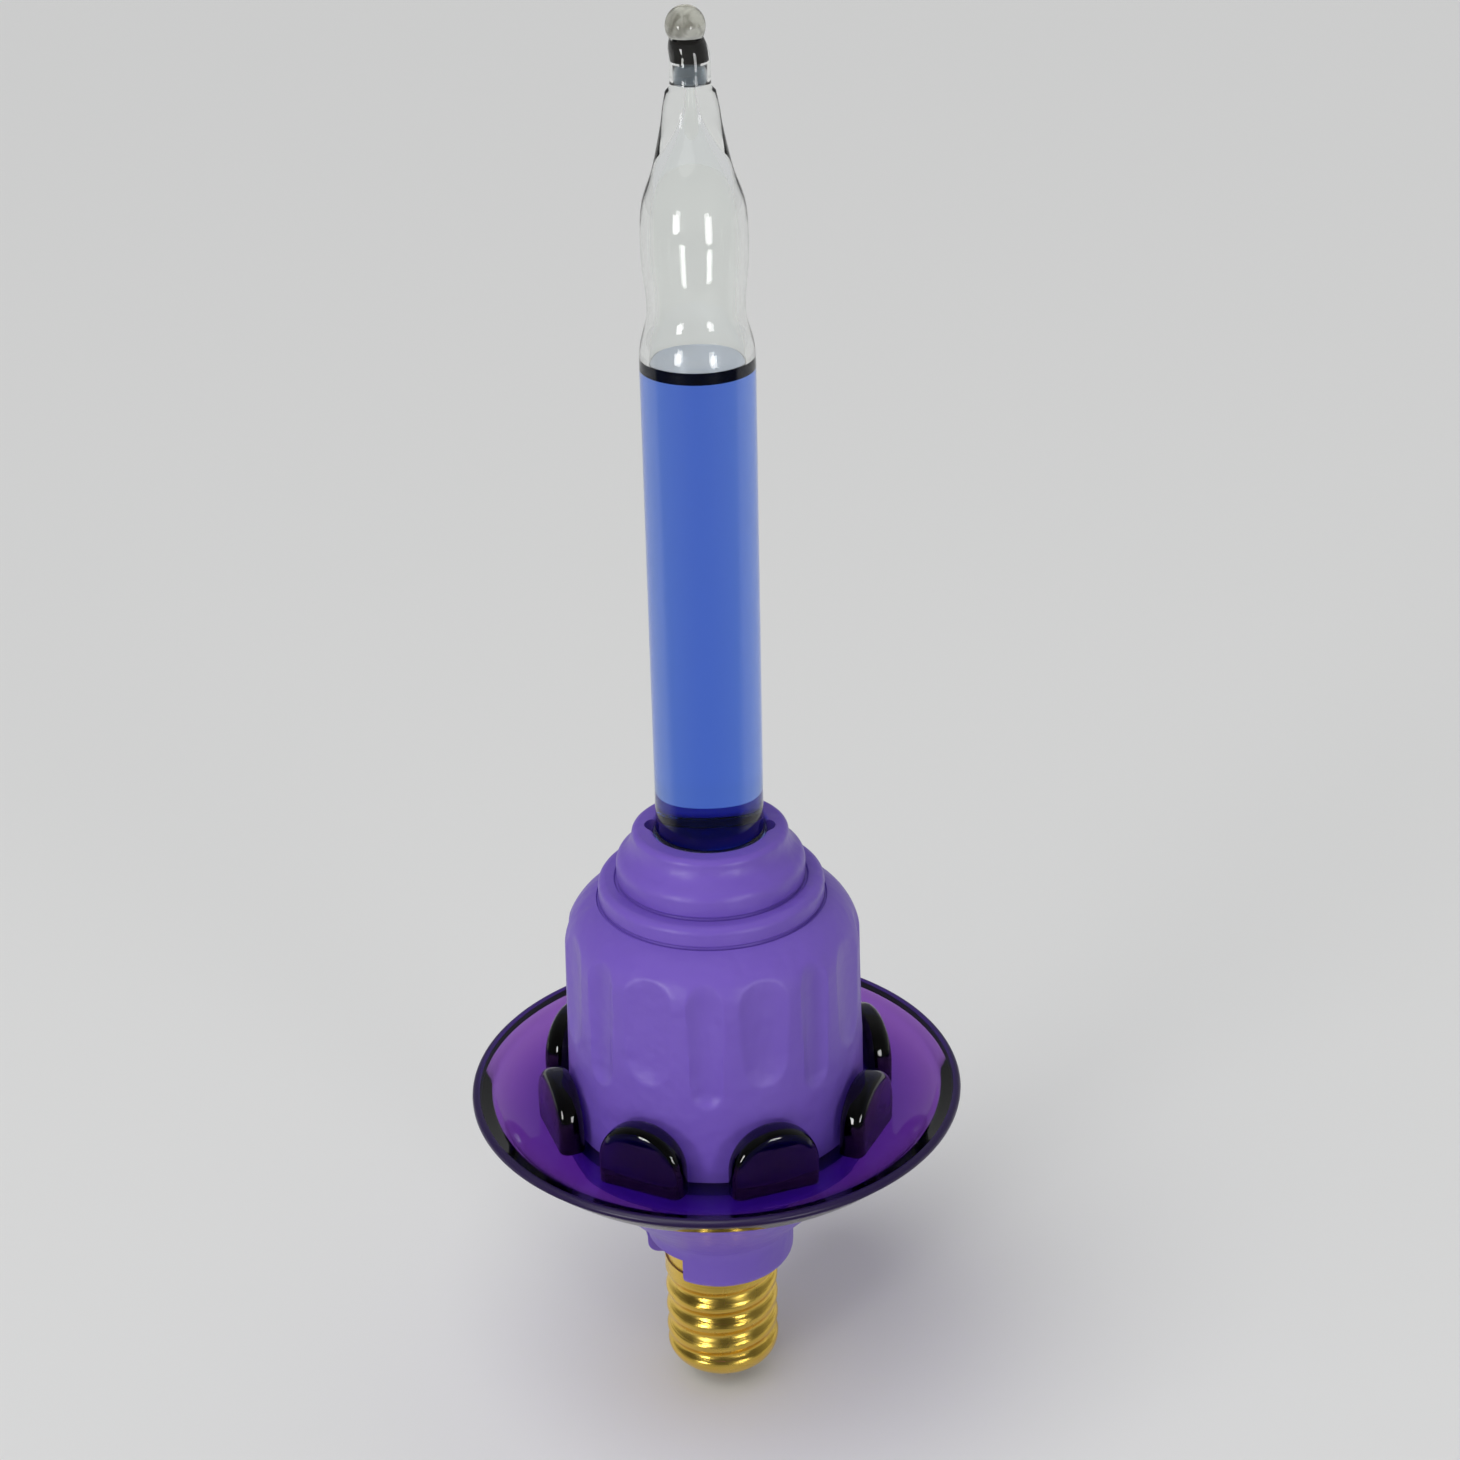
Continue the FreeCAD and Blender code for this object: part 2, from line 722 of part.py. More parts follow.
lamp_envelope = turned(
    "lamp_envelope",
    [
        ("lamp_neck_radius - lamp_glass", "lamp_foot"),
        ("lamp_neck_radius", "lamp_foot"),
        ("lamp_neck_radius", "lamp_neck_top"),
        ("lamp_radius", "lamp_belly"),
        ("0", "lamp_top"),
        ("0", "lamp_top - lamp_glass"),
        ("lamp_radius - lamp_glass", "lamp_belly"),
        ("lamp_neck_radius - lamp_glass", "lamp_neck_top"),
    ],
    {2: ("level", "end"), 3: ("level", "start"), 5: ("level", "end"), 6: ("level", "start")},
)
lamp_cement = turned(
    "lamp_cement",
    [
        ("lamp_neck_radius", "lamp_foot"),
        ("shell_bore", "lamp_foot"),
        ("shell_bore", "lamp_foot + cement_height"),
        ("lamp_neck_radius", "lamp_foot + cement_height"),
    ],
)
lead_to_contact = bent_wire(
    "lead_to_contact",
    "lead_radius",
    [
        ("lead_splay", "lead_top"),
        ("lead_spread", "stem_top + lead_spread"),
        ("lead_spread", "lead_turn"),
        ("0", "insulator_top"),
        ("0", "contact_height"),
    ],
)
lead_to_shell = bent_wire(
    "lead_to_shell",
    "lead_radius",
    [
        ("-lead_splay", "lead_top"),
        ("-lead_spread", "stem_top + lead_spread"),
        ("-lead_spread", "lead_turn"),
        ("solder_thick - shell_bore", "lead_turn"),
    ],
)
stem_blank = turned(
    "stem_blank",
    [
        ("0", "lamp_foot"),
        ("lamp_neck_radius - lamp_glass", "lamp_foot"),
        ("lamp_neck_radius - lamp_glass", "lamp_foot + stem_foot"),
        ("stem_radius", "lamp_foot + stem_foot"),
        ("stem_radius", "stem_top"),
        ("0", "stem_top"),
    ],
)
leads = boolean("Fuse", "leads", lead_to_contact, lead_to_shell)
lamp_stem = boolean("Cut", "lamp_stem", stem_blank, leads)

filament_line = bent_wire(
    "filament_line",
    "filament_radius",
    [
        ("-lead_splay", "lead_top"),
        ("0", "lead_top + filament_rise"),
        ("lead_splay", "lead_top"),
    ],
)
lamp_filament = boolean("Cut", "lamp_filament", filament_line, leads)
support_rod = rod("support_rod", "support_radius", "stem_top", "(lead_top + filament_rise)")
filament_support = boolean("Cut", "filament_support", support_rod, filament_line)

# Solder that joins the lead to the shell: a round blob against the bore.

solder_blob = rod("solder_blob", "solder_radius", "0", "solder_thick * 2")
solder_blob.setExpression(
    "Placement",
    bound("placement(vector(solder_thick - shell_bore; 0; lead_turn); rotation(vector(0; 1; 0); -90))"),
)
bore_plug = rod("bore_plug", "shell_bore", "insulator_top", "lamp_foot")
side_solder = boolean("Common", "side_solder", bore_plug, solder_blob)

PIECES = [
    glass_vial, vial_fluid, neck_residue, neck_fluid, vial_glue, dome_cover, drip_saucer, lower_housing,
    screw_shell, base_insulator, contact_eyelet, contact_solder, side_solder, lamp_cement, lamp_envelope,
    lamp_stem, lead_to_shell, lead_to_contact, lamp_filament, filament_support,
]

doc.recompute()
for item in doc.Objects:
    if "Invalid" in item.State or "Error" in item.State:
        raise RuntimeError("%s was not made: %s" % (item.Name, item.State))
for piece in PIECES:
    if piece.Shape.isNull() or not piece.Shape.isValid():
        raise RuntimeError("%s has no valid shape" % piece.Label)
    piece.Shape.exportStep("parts/%s.step" % piece.Label)
    box = piece.Shape.BoundBox
    print("%-17s solids %d  volume %9.2f  z %6.2f to %6.2f  width %5.2f" % (
        piece.Label, len(piece.Shape.Solids), piece.Shape.Volume, box.ZMin, box.ZMax, box.XLength))
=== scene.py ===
# %% [markdown]
# # Bubble light bulb
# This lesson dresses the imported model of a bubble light: a brass screw base, an opaque violet housing,
# a clear violet drip saucer with eight tabs, a stepped and fluted violet dome, and a clear glass vial
# of blue fluid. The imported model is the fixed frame, so every piece is made where that model says.

# %% Load the frame
import math

import bpy
from mathutils import Matrix, Vector


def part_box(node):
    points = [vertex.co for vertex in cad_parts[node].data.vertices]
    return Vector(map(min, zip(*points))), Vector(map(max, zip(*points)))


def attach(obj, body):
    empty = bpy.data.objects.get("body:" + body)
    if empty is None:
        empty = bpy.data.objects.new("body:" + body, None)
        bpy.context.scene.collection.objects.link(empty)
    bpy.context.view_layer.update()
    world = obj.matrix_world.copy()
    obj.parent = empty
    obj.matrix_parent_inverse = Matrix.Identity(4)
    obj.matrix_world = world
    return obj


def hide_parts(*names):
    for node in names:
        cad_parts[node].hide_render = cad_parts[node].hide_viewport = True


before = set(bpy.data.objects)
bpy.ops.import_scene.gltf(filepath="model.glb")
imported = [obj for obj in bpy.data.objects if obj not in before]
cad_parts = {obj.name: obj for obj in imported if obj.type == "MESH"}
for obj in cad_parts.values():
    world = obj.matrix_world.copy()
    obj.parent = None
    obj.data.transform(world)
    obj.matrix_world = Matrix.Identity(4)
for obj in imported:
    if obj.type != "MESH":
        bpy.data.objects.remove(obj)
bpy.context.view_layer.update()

MM = 0.001

# %% [markdown]
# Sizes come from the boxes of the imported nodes, so a change of the model moves the dressed pieces too.
# A node's box gives its radius and its lowest and highest points. All lengths below are millimetres
# until a piece is made, because that is how a drawing of such a light gives them.

# %% Measure the nodes


def node_size(node):
    """The radius, foot and top of a round node, in millimetres."""
    low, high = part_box(node)
    return (high[1] - low[1]) / 2 / MM, low[2] / MM, high[2] / MM


VIAL_RADIUS, VIAL_FOOT, VIAL_TOP = node_size("glass_vial")
FLUID_RADIUS, _, FLUID_TOP = node_size("vial_fluid")
DOME_RADIUS, DOME_FOOT, DOME_TOP = node_size("dome_cover")
SAUCER_RADIUS, SAUCER_FOOT, TAB_TOP = node_size("drip_saucer")
HOUSING_RADIUS, HOUSING_FOOT, HOUSING_TOP = node_size("lower_housing")
SHELL_RADIUS, SHELL_FOOT, SHELL_TOP = node_size("screw_shell")
CHAMBER_RADIUS, CHAMBER_FOOT, NECK_FLUID_TOP = node_size("neck_fluid")
NECK_TOP = node_size("neck_residue")[2]
GLUE_RADIUS, GLUE_FOOT, GLUE_TOP = node_size("vial_glue")
print("vial", VIAL_RADIUS, VIAL_FOOT, VIAL_TOP, "dome", DOME_RADIUS, DOME_FOOT, DOME_TOP)
print("saucer", SAUCER_RADIUS, SAUCER_FOOT, TAB_TOP, "shell", SHELL_RADIUS, SHELL_FOOT, SHELL_TOP)

# %% [markdown]
# Almost every piece of this light is round, so each starts as a drawn section that is spun about the
# axis, as on a lathe. The section is drawn point by point from one vertex with extrude, and the Screw
# modifier spins it. Small helpers give the points of arcs and of smooth curves.

# %% Drawing helpers


def arc(centre, radius, start, end, steps=8):
    """Points of an arc about centre, from the angle start to end in degrees, 0 outwards and 90 up."""
    angles = [math.radians(start + (end - start) * step / steps) for step in range(steps + 1)]
    return [(centre[0] + radius * math.cos(a), centre[1] + radius * math.sin(a)) for a in angles]


def level_arc(start, end, steps=8):
    """Points of the arc from start to end whose centre is level with start."""
    across = end[0] - start[0]
    up = end[1] - start[1]
    reach = (across ** 2 + up ** 2) / (2 * across)
    centre = (start[0] + reach, start[1])
    first = 180 if reach > 0 else 0
    last = math.degrees(math.atan2(end[1] - centre[1], end[0] - centre[0]))
    if first == 180 and last < 0:
        last += 360
    return arc(centre, abs(reach), first, last, steps)


def plumb_arc(start, end, steps=8):
    """Points of the arc from start to end whose centre is straight above or below start."""
    turned = level_arc((start[1], start[0]), (end[1], end[0]), steps)
    return [(y, x) for x, y in turned]


def smooth_curve(points, steps=8):
    """Points of a smooth curve through points, each step a cubic between its neighbours' slopes."""
    out = []
    for i in range(len(points) - 1):
        before = points[max(i - 1, 0)]
        a, b = points[i], points[i + 1]
        after = points[min(i + 2, len(points) - 1)]
        span = b[1] - a[1]
        slope_a = (b[0] - before[0]) / (b[1] - before[1]) if i else 0
        slope_b = (after[0] - a[0]) / (after[1] - a[1])
        for step in range(steps + (i == len(points) - 2)):
            t = step / steps
            radius = (
                (2 * t ** 3 - 3 * t ** 2 + 1) * a[0]
                + (t ** 3 - 2 * t ** 2 + t) * slope_a * span
                + (3 * t ** 2 - 2 * t ** 3) * b[0]
                + (t ** 3 - t ** 2) * slope_b * span
            )
            out.append((radius, a[1] + span * t))
    return out


def rows_between(start, end, spacing):
    """Points along a straight side, close enough together to be shaped later."""
    count = max(2, round(math.dist(start, end) / spacing))
    return [
        (start[0] + (end[0] - start[0]) * i / count, start[1] + (end[1] - start[1]) * i / count)
        for i in range(count + 1)
    ]


def fade(value, low, high):
    """0 below low, 1 above high, and smooth between."""
    t = min(max((value - low) / (high - low), 0.0), 1.0)
    return t * t * (3 - 2 * t)


print("quarter of a circle", arc((0, 0), 1, 0, 90, 2))

# %% Modelling helpers
# Points nearer than this (m) become one: NEAR in a finished mesh, SEAM where a spin meets itself.
NEAR = 0.00001
SEAM = 0.000001


def deselect():
    bpy.ops.object.select_all(action="DESELECT")


def pick(piece):
    """Makes a piece the only selected one."""
    deselect()
    piece.select_set(True)
    bpy.context.view_layer.objects.active = piece


def apply_modifier(piece, kind, **settings):
    """Adds a modifier, sets it and applies it."""
    pick(piece)
    modifier = piece.modifiers.new(kind.title(), kind)
    for name, setting in settings.items():
        setattr(modifier, name, setting)
    bpy.ops.object.modifier_apply(modifier=modifier.name)


def clean(piece):
    """Merges doubles and turns all faces outwards."""
    pick(piece)
    bpy.ops.object.mode_set(mode="EDIT")
    bpy.ops.mesh.select_all(action="SELECT")
    bpy.ops.mesh.remove_doubles(threshold=NEAR)
    bpy.ops.mesh.normals_make_consistent(inside=False)
    bpy.ops.object.mode_set(mode="OBJECT")


def draw_section(name, points):
    """A closed line of points (radius, height), drawn by extruding one vertex from place to place."""
    deselect()
    bpy.ops.mesh.primitive_plane_add(size=MM, location=(0, 0, 0))
    piece = bpy.context.object
    piece.name = name
    piece.data.name = name
    bpy.ops.object.mode_set(mode="EDIT")
    bpy.ops.mesh.select_all(action="SELECT")
    bpy.ops.mesh.merge(type="CENTER")
    bpy.ops.transform.translate(value=(points[0][0] * MM, 0, points[0][1] * MM))
    for before, after in zip(points, points[1:]):
        step = ((after[0] - before[0]) * MM, 0, (after[1] - before[1]) * MM)
        bpy.ops.mesh.extrude_region_move(TRANSFORM_OT_translate={"value": step})
    if points[0][0] > 0 or points[-1][0] > 0:
        bpy.ops.mesh.select_all(action="SELECT")
        bpy.ops.mesh.edge_face_add()
        bpy.ops.mesh.select_mode(type="FACE")
        bpy.ops.mesh.delete(type="ONLY_FACE")
        bpy.ops.mesh.select_mode(type="VERT")
    bpy.ops.object.mode_set(mode="OBJECT")
    return piece


def turn(name, points, steps=160):
    """A round piece: a section spun about the axis, closed and facing outwards."""
    piece = draw_section(name, points)
    apply_modifier(
        piece, "SCREW", steps=steps, render_steps=steps, use_merge_vertices=True, merge_threshold=SEAM
    )
    clean(piece)
    return piece


def finish_piece(piece, node, material, smooth=35):
    """Shades a piece, gives it its finish, and sets it in the frame in place of a node."""
    pick(piece)
    bpy.ops.object.shade_smooth_by_angle(angle=math.radians(smooth))
    piece.data.materials.clear()
    piece.data.materials.append(material)
    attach(piece, "root")
    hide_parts(node)
    print(piece.name, len(piece.data.polygons), "faces")

# %% [markdown]
# ## Finishes
# The light has two violet plastics. The dome and the housing are opaque, with a soft satin skin from the
# mould. The saucer is clear and deeply dyed, so its colour comes from how far light goes through it:
# a thin floor looks light violet, and a thick tab nearly black. That is what volume absorption does,
# and the tabs get painted shade on top of it.
# The fluid is made the same way. All finishes use the same few kinds of nodes, so small helpers make
# those first. A socket takes a plain number or colour, or another node's output.

# %% Node helpers


def new_material(name):
    material = bpy.data.materials.new(name)
    material.use_nodes = True
    return material, material.node_tree.nodes, material.node_tree.links


def set_shader(material, name, value):
    """Sets one of the shader's own sockets."""
    material.node_tree.nodes["Principled BSDF"].inputs[name].default_value = value


def feed(links, source, socket):
    """Gives a socket a plain number or colour, or the output of another node."""
    if isinstance(source, bpy.types.NodeSocket):
        links.new(source, socket)
    elif isinstance(source, tuple):
        socket.default_value = (*source, 1.0)
    else:
        socket.default_value = source


def compute(nodes, links, operation, *values, clamp=False):
    """The output of a Math node."""
    node = nodes.new("ShaderNodeMath")
    node.operation = operation
    node.use_clamp = clamp
    for value, socket in zip(values, node.inputs):
        feed(links, value, socket)
    return node.outputs["Value"]


def ramp(nodes, links, value, start, end, low=0.0, high=1.0):
    """The output of a Map Range node: low up to start, high from end on, and even between."""
    node = nodes.new("ShaderNodeMapRange")
    links.new(value, node.inputs["Value"])
    for name, source in (("From Min", start), ("From Max", end), ("To Min", low), ("To Max", high)):
        feed(links, source, node.inputs[name])
    return node.outputs["Result"]


def blend(nodes, links, share, first, second, kind="FLOAT"):
    """The output of a Mix node, between two numbers or, with the kind RGBA, two colours."""
    node = nodes.new("ShaderNodeMix")
    node.data_type = kind
    for name, source in (("Factor", share), ("A", first), ("B", second)):
        feed(links, source, node.inputs[name])
    return node.outputs["Result"]


def noise(nodes, links, vector, scale, detail, distortion=0.0):
    """The output of a Noise texture."""
    node = nodes.new("ShaderNodeTexNoise")
    links.new(vector, node.inputs["Vector"])
    for name, source in (("Scale", scale), ("Detail", detail), ("Distortion", distortion)):
        feed(links, source, node.inputs[name])
    return node.outputs["Fac"]


def object_place(nodes):
    """The place of the shaded point on the object (m)."""
    return nodes.new("ShaderNodeTexCoord").outputs["Object"]


def split(nodes, links, vector):
    """The X, Y and Z outputs of a vector."""
    node = nodes.new("ShaderNodeSeparateXYZ")
    links.new(vector, node.inputs["Vector"])
    return node.outputs


def length(nodes, links, x, y, z=0.0):
    """The length of a vector of three parts, such as a point's distance from the axis."""
    vector = nodes.new("ShaderNodeCombineXYZ")
    for name, source in (("X", x), ("Y", y), ("Z", z)):
        feed(links, source, vector.inputs[name])
    measured = nodes.new("ShaderNodeVectorMath")
    measured.operation = "LENGTH"
    links.new(vector.outputs["Vector"], measured.inputs[0])
    return measured.outputs["Value"]


def paint(nodes, links, mask, first, second):
    """Gives the shader a base colour between first and second, as the mask says."""
    colour = blend(nodes, links, mask, first, second, "RGBA")
    links.new(colour, nodes["Principled BSDF"].inputs["Base Color"])


def add_bump(nodes, links, height, distance):
    """Gives the shader a bump, with height times distance (m) as its relief."""
    bump = nodes.new("ShaderNodeBump")
    bump.inputs["Distance"].default_value = distance
    links.new(height, bump.inputs["Height"])
    links.new(bump.outputs["Normal"], nodes["Principled BSDF"].inputs["Normal"])


print("node helpers ready")

# %% [markdown]
# Small flaws that several finishes share are one node group: a soft cloud of noise that moves the
# roughness a little, and a fine grain for a low bump. The group is built once and placed in each
# material with that material's own values.

# %% Shared node group
FLAW_INPUTS = {"Cloud Scale": 300.0, "Grain Scale": 4000.0, "Low": 0.3, "High": 0.5}


def skin_flaws_group():
    """A group that gives a roughness with clouds in it, the cloud itself and a grain for a bump."""
    group = bpy.data.node_groups.new("skin_flaws", "ShaderNodeTree")
    sockets = group.interface
    sockets.new_socket(name="Vector", in_out="INPUT", socket_type="NodeSocketVector")
    for name, value in FLAW_INPUTS.items():
        socket = sockets.new_socket(name=name, in_out="INPUT", socket_type="NodeSocketFloat")
        socket.default_value = value
    for name in ("Roughness", "Cloud", "Grain"):
        sockets.new_socket(name=name, in_out="OUTPUT", socket_type="NodeSocketFloat")
    nodes, links = group.nodes, group.links
    given = nodes.new("NodeGroupInput")
    result = nodes.new("NodeGroupOutput")
    cloud = noise(nodes, links, given.outputs["Vector"], given.outputs["Cloud Scale"], 4.0)
    grain = noise(nodes, links, given.outputs["Vector"], given.outputs["Grain Scale"], 2.0)
    cloudy = ramp(nodes, links, cloud, 0.3, 0.7, given.outputs["Low"], given.outputs["High"])
    links.new(cloudy, result.inputs["Roughness"])
    links.new(cloud, result.inputs["Cloud"])
    links.new(grain, result.inputs["Grain"])
    return group


SKIN_FLAWS = skin_flaws_group()


def add_flaws(nodes, links, cloud_scale, grain_scale, low, high):
    """Puts the shared group in a material and joins its roughness to the shader."""
    flaws = nodes.new("ShaderNodeGroup")
    flaws.node_tree = SKIN_FLAWS
    for name, value in zip(FLAW_INPUTS, (cloud_scale, grain_scale, low, high)):
        flaws.inputs[name].default_value = value
    links.new(object_place(nodes), flaws.inputs["Vector"])
    links.new(flaws.outputs["Roughness"], nodes["Principled BSDF"].inputs["Roughness"])
    return flaws


print("group sockets", [item.name for item in SKIN_FLAWS.interface.items_tree])

# %% [markdown]
# Clear things share one recipe: full transmission, a low roughness, the real index of refraction, and,
# where they are dyed, an absorption volume. Its density is worked out from the colour that is seen
# through a known thickness, because light fades by the same share for each millimetre. The saucer's
# lip gets a cloudier copy of its violet, because the real one is rough and nearly opaque there.

# %% Clear finishes
GLASS_INDEX = 1.47
FLUID_INDEX = 1.40
GLASS_TINT = (0.97, 0.985, 0.97)
DISH_TINT = (1.0, 0.95, 1.0)
VIOLET = {"refraction": 1.55, "seen": (0.155, 0.035, 0.43), "thickness": 2.4}


def absorb(nodes, links, seen, thickness):
    """Dyes a clear material so that thickness (mm) of it lets through the colour seen."""
    losses = [-math.log(share) / (thickness * MM) for share in seen]
    # A density a little above the greatest loss leaves no part of the volume's colour at 0.
    density = max(losses) * 1.02
    volume = nodes.new("ShaderNodeVolumeAbsorption")
    volume.inputs["Color"].default_value = (*[1 - loss / density for loss in losses], 1.0)
    volume.inputs["Density"].default_value = density
    links.new(volume.outputs["Volume"], nodes["Material Output"].inputs["Volume"])


def clear_material(name, refraction, low=0.0, high=0.03, tint=(1.0, 1.0, 1.0), seen=None, thickness=None):
    """A clear stuff with a roughness from low to high, dyed where the colour seen is given."""
    material, nodes, links = new_material(name)
    set_shader(material, "Base Color", (*tint, 1.0))
    set_shader(material, "Transmission Weight", 1.0)
    set_shader(material, "IOR", refraction)
    add_flaws(nodes, links, cloud_scale=160.0, grain_scale=1500.0, low=low, high=high)
    if seen:
        absorb(nodes, links, seen, thickness)
    return material


VIAL_GLASS = clear_material("vial_glass", GLASS_INDEX, high=0.02, tint=GLASS_TINT)
BLUE_FLUID = clear_material("blue_fluid", FLUID_INDEX, seen=(0.105, 0.215, 0.86), thickness=9.0)
NECK_FLUID = clear_material(
    "neck_fluid", FLUID_INDEX, high=0.2, tint=(0.72, 0.75, 0.78), seen=(0.18, 0.205, 0.23), thickness=2.2
)
CLEAR_GLUE = clear_material("clear_glue", 1.50, high=0.1, tint=(0.95, 0.95, 1.0))
CLEAR_VIOLET = clear_material("clear_violet", high=0.05, tint=DISH_TINT, **VIOLET)
set_shader(CLEAR_VIOLET, "Specular IOR Level", 0.3)
CLOUDY_VIOLET = clear_material("cloudy_violet", low=0.25, high=0.45, tint=(0.10, 0.035, 0.32), **VIOLET)
set_shader(CLOUDY_VIOLET, "Transmission Weight", 0.85)
set_shader(CLOUDY_VIOLET, "Specular IOR Level", 0.05)
LAMP_GLASS = clear_material("lamp_glass", GLASS_INDEX)
print("clear finishes made")

# %% [markdown]
# Above the neck the glass gets a grey tint with darker wisps in it: a noise, with a ramp that spreads
# its middle values out to full contrast.

# %% Grey knob
KNOB_GREY = (0.70, 0.70, 0.62)
KNOB_DARK_WISPS = (0.22, 0.21, 0.17)
KNOB_TINT_EDGE = 0.4


def tint_knob(material):
    """Tints the vial's glass grey above the neck, with darker wisps."""
    nodes, links = material.node_tree.nodes, material.node_tree.links
    place = object_place(nodes)
    height = split(nodes, links, place)["Z"]
    above = ramp(nodes, links, height, (NECK_TOP - KNOB_TINT_EDGE) * MM, (NECK_TOP + KNOB_TINT_EDGE) * MM)
    wisps = ramp(nodes, links, noise(nodes, links, place, 700.0, 1.0, 1.2), 0.38, 0.62)
    wisp_tint = blend(nodes, links, wisps, KNOB_GREY, KNOB_DARK_WISPS, "RGBA")
    paint(nodes, links, above, GLASS_TINT, wisp_tint)


tint_knob(VIAL_GLASS)
print("knob smoked above", round(NECK_TOP, 2), "mm")

# %% [markdown]
# The real saucer's tabs look nearly black, deeper than their thickness alone makes them, because they
# stand in the shade between the dish and the dome. That shade is painted on. A second material would
# show a seam where a tab meets the dish, so the same clear violet gets a darker tint, painted shade,
# for what stands above the floor of the dish and near the dome.

# %% Painted shade on the tabs
# Painted shade: a darker tint for the tabs, where little light reaches between the dish and the dome.
TABS_PAINTED_SHADE = (0.45, 0.30, 0.60)
TABS_REACH = DOME_RADIUS + 3.2
TABS_FOOT = DOME_FOOT + 0.4
TABS_EDGE = 0.2


def paint_tab_shade(material):
    """Gives the tabs a darker tint than the dish: painted shade near the dome."""
    nodes, links = material.node_tree.nodes, material.node_tree.links
    place = split(nodes, links, object_place(nodes))
    reach = length(nodes, links, place["X"], place["Y"])
    near = compute(nodes, links, "LESS_THAN", reach, TABS_REACH * MM)
    above = ramp(nodes, links, place["Z"], (TABS_FOOT - TABS_EDGE) * MM, (TABS_FOOT + TABS_EDGE) * MM)
    # The painted shade goes on what stands above the dish's floor and near the dome.
    paint(nodes, links, compute(nodes, links, "MULTIPLY", near, above), DISH_TINT, TABS_PAINTED_SHADE)


paint_tab_shade(CLEAR_VIOLET)
print("tabs deeper above", round(TABS_FOOT, 2), "mm")

# %% [markdown]
# The satin violet is an ordinary coloured plastic with a little light scattered under the skin, a fine
# grain from the mould, and clouds where the skin is more or less glossy. The other opaque stuffs use
# the same recipe with their own colours: the burnt residue in the neck, the froth on the fluid, which is
# partly a painted reflection, the painted shade of the fluid's dark edge, the insulator and the cement.

# %% Opaque plastic, residue, froth with painted reflection, painted shade of the fluid's edge, insulator and cement


def plastic(name, colour, shade, low, high, scatter=0.0, grain=0.00001, peel=0.0):
    """An opaque moulded stuff: colour with clouds of shade, a fine grain, and peel times as deep waves."""
    material, nodes, links = new_material(name)
    flaws = add_flaws(nodes, links, cloud_scale=120.0, grain_scale=2600.0, low=low, high=high)
    paint(nodes, links, flaws.outputs["Cloud"], shade, colour)
    waves = noise(nodes, links, object_place(nodes), 520.0, 1.0)
    height = compute(nodes, links, "MULTIPLY_ADD", waves, peel, flaws.outputs["Grain"])
    add_bump(nodes, links, height, grain)
    if scatter:
        set_shader(material, "Subsurface Weight", scatter)
        set_shader(material, "Subsurface Radius", (0.6, 0.4, 1.0))
        set_shader(material, "Subsurface Scale", 0.001)
    return material


SATIN_VIOLET = plastic(
    "satin_violet", (0.182, 0.102, 0.51), (0.156, 0.086, 0.458), 0.34, 0.46, scatter=0.15, peel=14.0
)
BLACK_RESIDUE = plastic("black_residue", (0.03, 0.028, 0.025), (0.008, 0.008, 0.008), 0.25, 0.6)
set_shader(BLACK_RESIDUE, "Specular IOR Level", 0.15)
# Froth and a painted reflection: the pale, partly metallic film stands for the level's mirror-like
# reflection.
FLUID_FROTH_AND_REFLECTION = plastic("fluid_froth_and_reflection", (0.93, 0.95, 0.98), (0.66, 0.74, 0.92), 0.3, 0.55, grain=0.00004)
set_shader(FLUID_FROTH_AND_REFLECTION, "Metallic", 0.7)
# Painted shade: a nearly black, unglossy ring for the dark line that bent light leaves at the wet edge.
FLUID_EDGE_SHADE = plastic("fluid_edge_shade", (0.002, 0.004, 0.016), (0.001, 0.002, 0.009), 0.05, 0.15)
set_shader(FLUID_EDGE_SHADE, "Specular IOR Level", 0.0)
INSULATOR = plastic("insulator", (0.03, 0.03, 0.035), (0.015, 0.015, 0.015), 0.12, 0.3)
CEMENT = plastic("cement", (0.62, 0.56, 0.46), (0.5, 0.45, 0.36), 0.7, 0.95, grain=0.00008)
print("opaque finishes made")

# %% [markdown]
# The screw shell is thin rolled brass. Its colour goes between a bright and a browner gold, and fine
# lines run round it from rolling: a noise that is stretched along the turn and squeezed along the axis.

# %% Metals


def metal(name, bright, dull, low, high, lines=0.0, cloud_scale=250.0):
    """A metal between a bright and a dull colour, with lines round the axis as deep as lines says."""
    material, nodes, links = new_material(name)
    set_shader(material, "Metallic", 1.0)
    flaws = add_flaws(nodes, links, cloud_scale=cloud_scale, grain_scale=3000.0, low=low, high=high)
    paint(nodes, links, flaws.outputs["Cloud"], dull, bright)
    if lines:
        stretch = nodes.new("ShaderNodeMapping")
        stretch.inputs["Scale"].default_value = (120.0, 120.0, 9000.0)
        links.new(object_place(nodes), stretch.inputs["Vector"])
        add_bump(nodes, links, noise(nodes, links, stretch.outputs["Vector"], 1.0, 3.0), lines)
    return material


BRASS = metal("brass_shell", (1.0, 0.73, 0.16), (0.82, 0.52, 0.07), 0.16, 0.32, lines=0.00003)
BRASS_CONTACT = metal("brass_contact", (0.90, 0.66, 0.25), (0.65, 0.42, 0.12), 0.2, 0.4)
SOLDER = metal("solder", (0.66, 0.64, 0.58), (0.45, 0.43, 0.38), 0.25, 0.5, cloud_scale=900.0)
LEAD_WIRE = metal("lead_wire", (0.6, 0.58, 0.54), (0.4, 0.38, 0.34), 0.25, 0.4)
FILAMENT = metal("filament", (0.3, 0.3, 0.31), (0.2, 0.2, 0.2), 0.3, 0.5)
print("metals made")

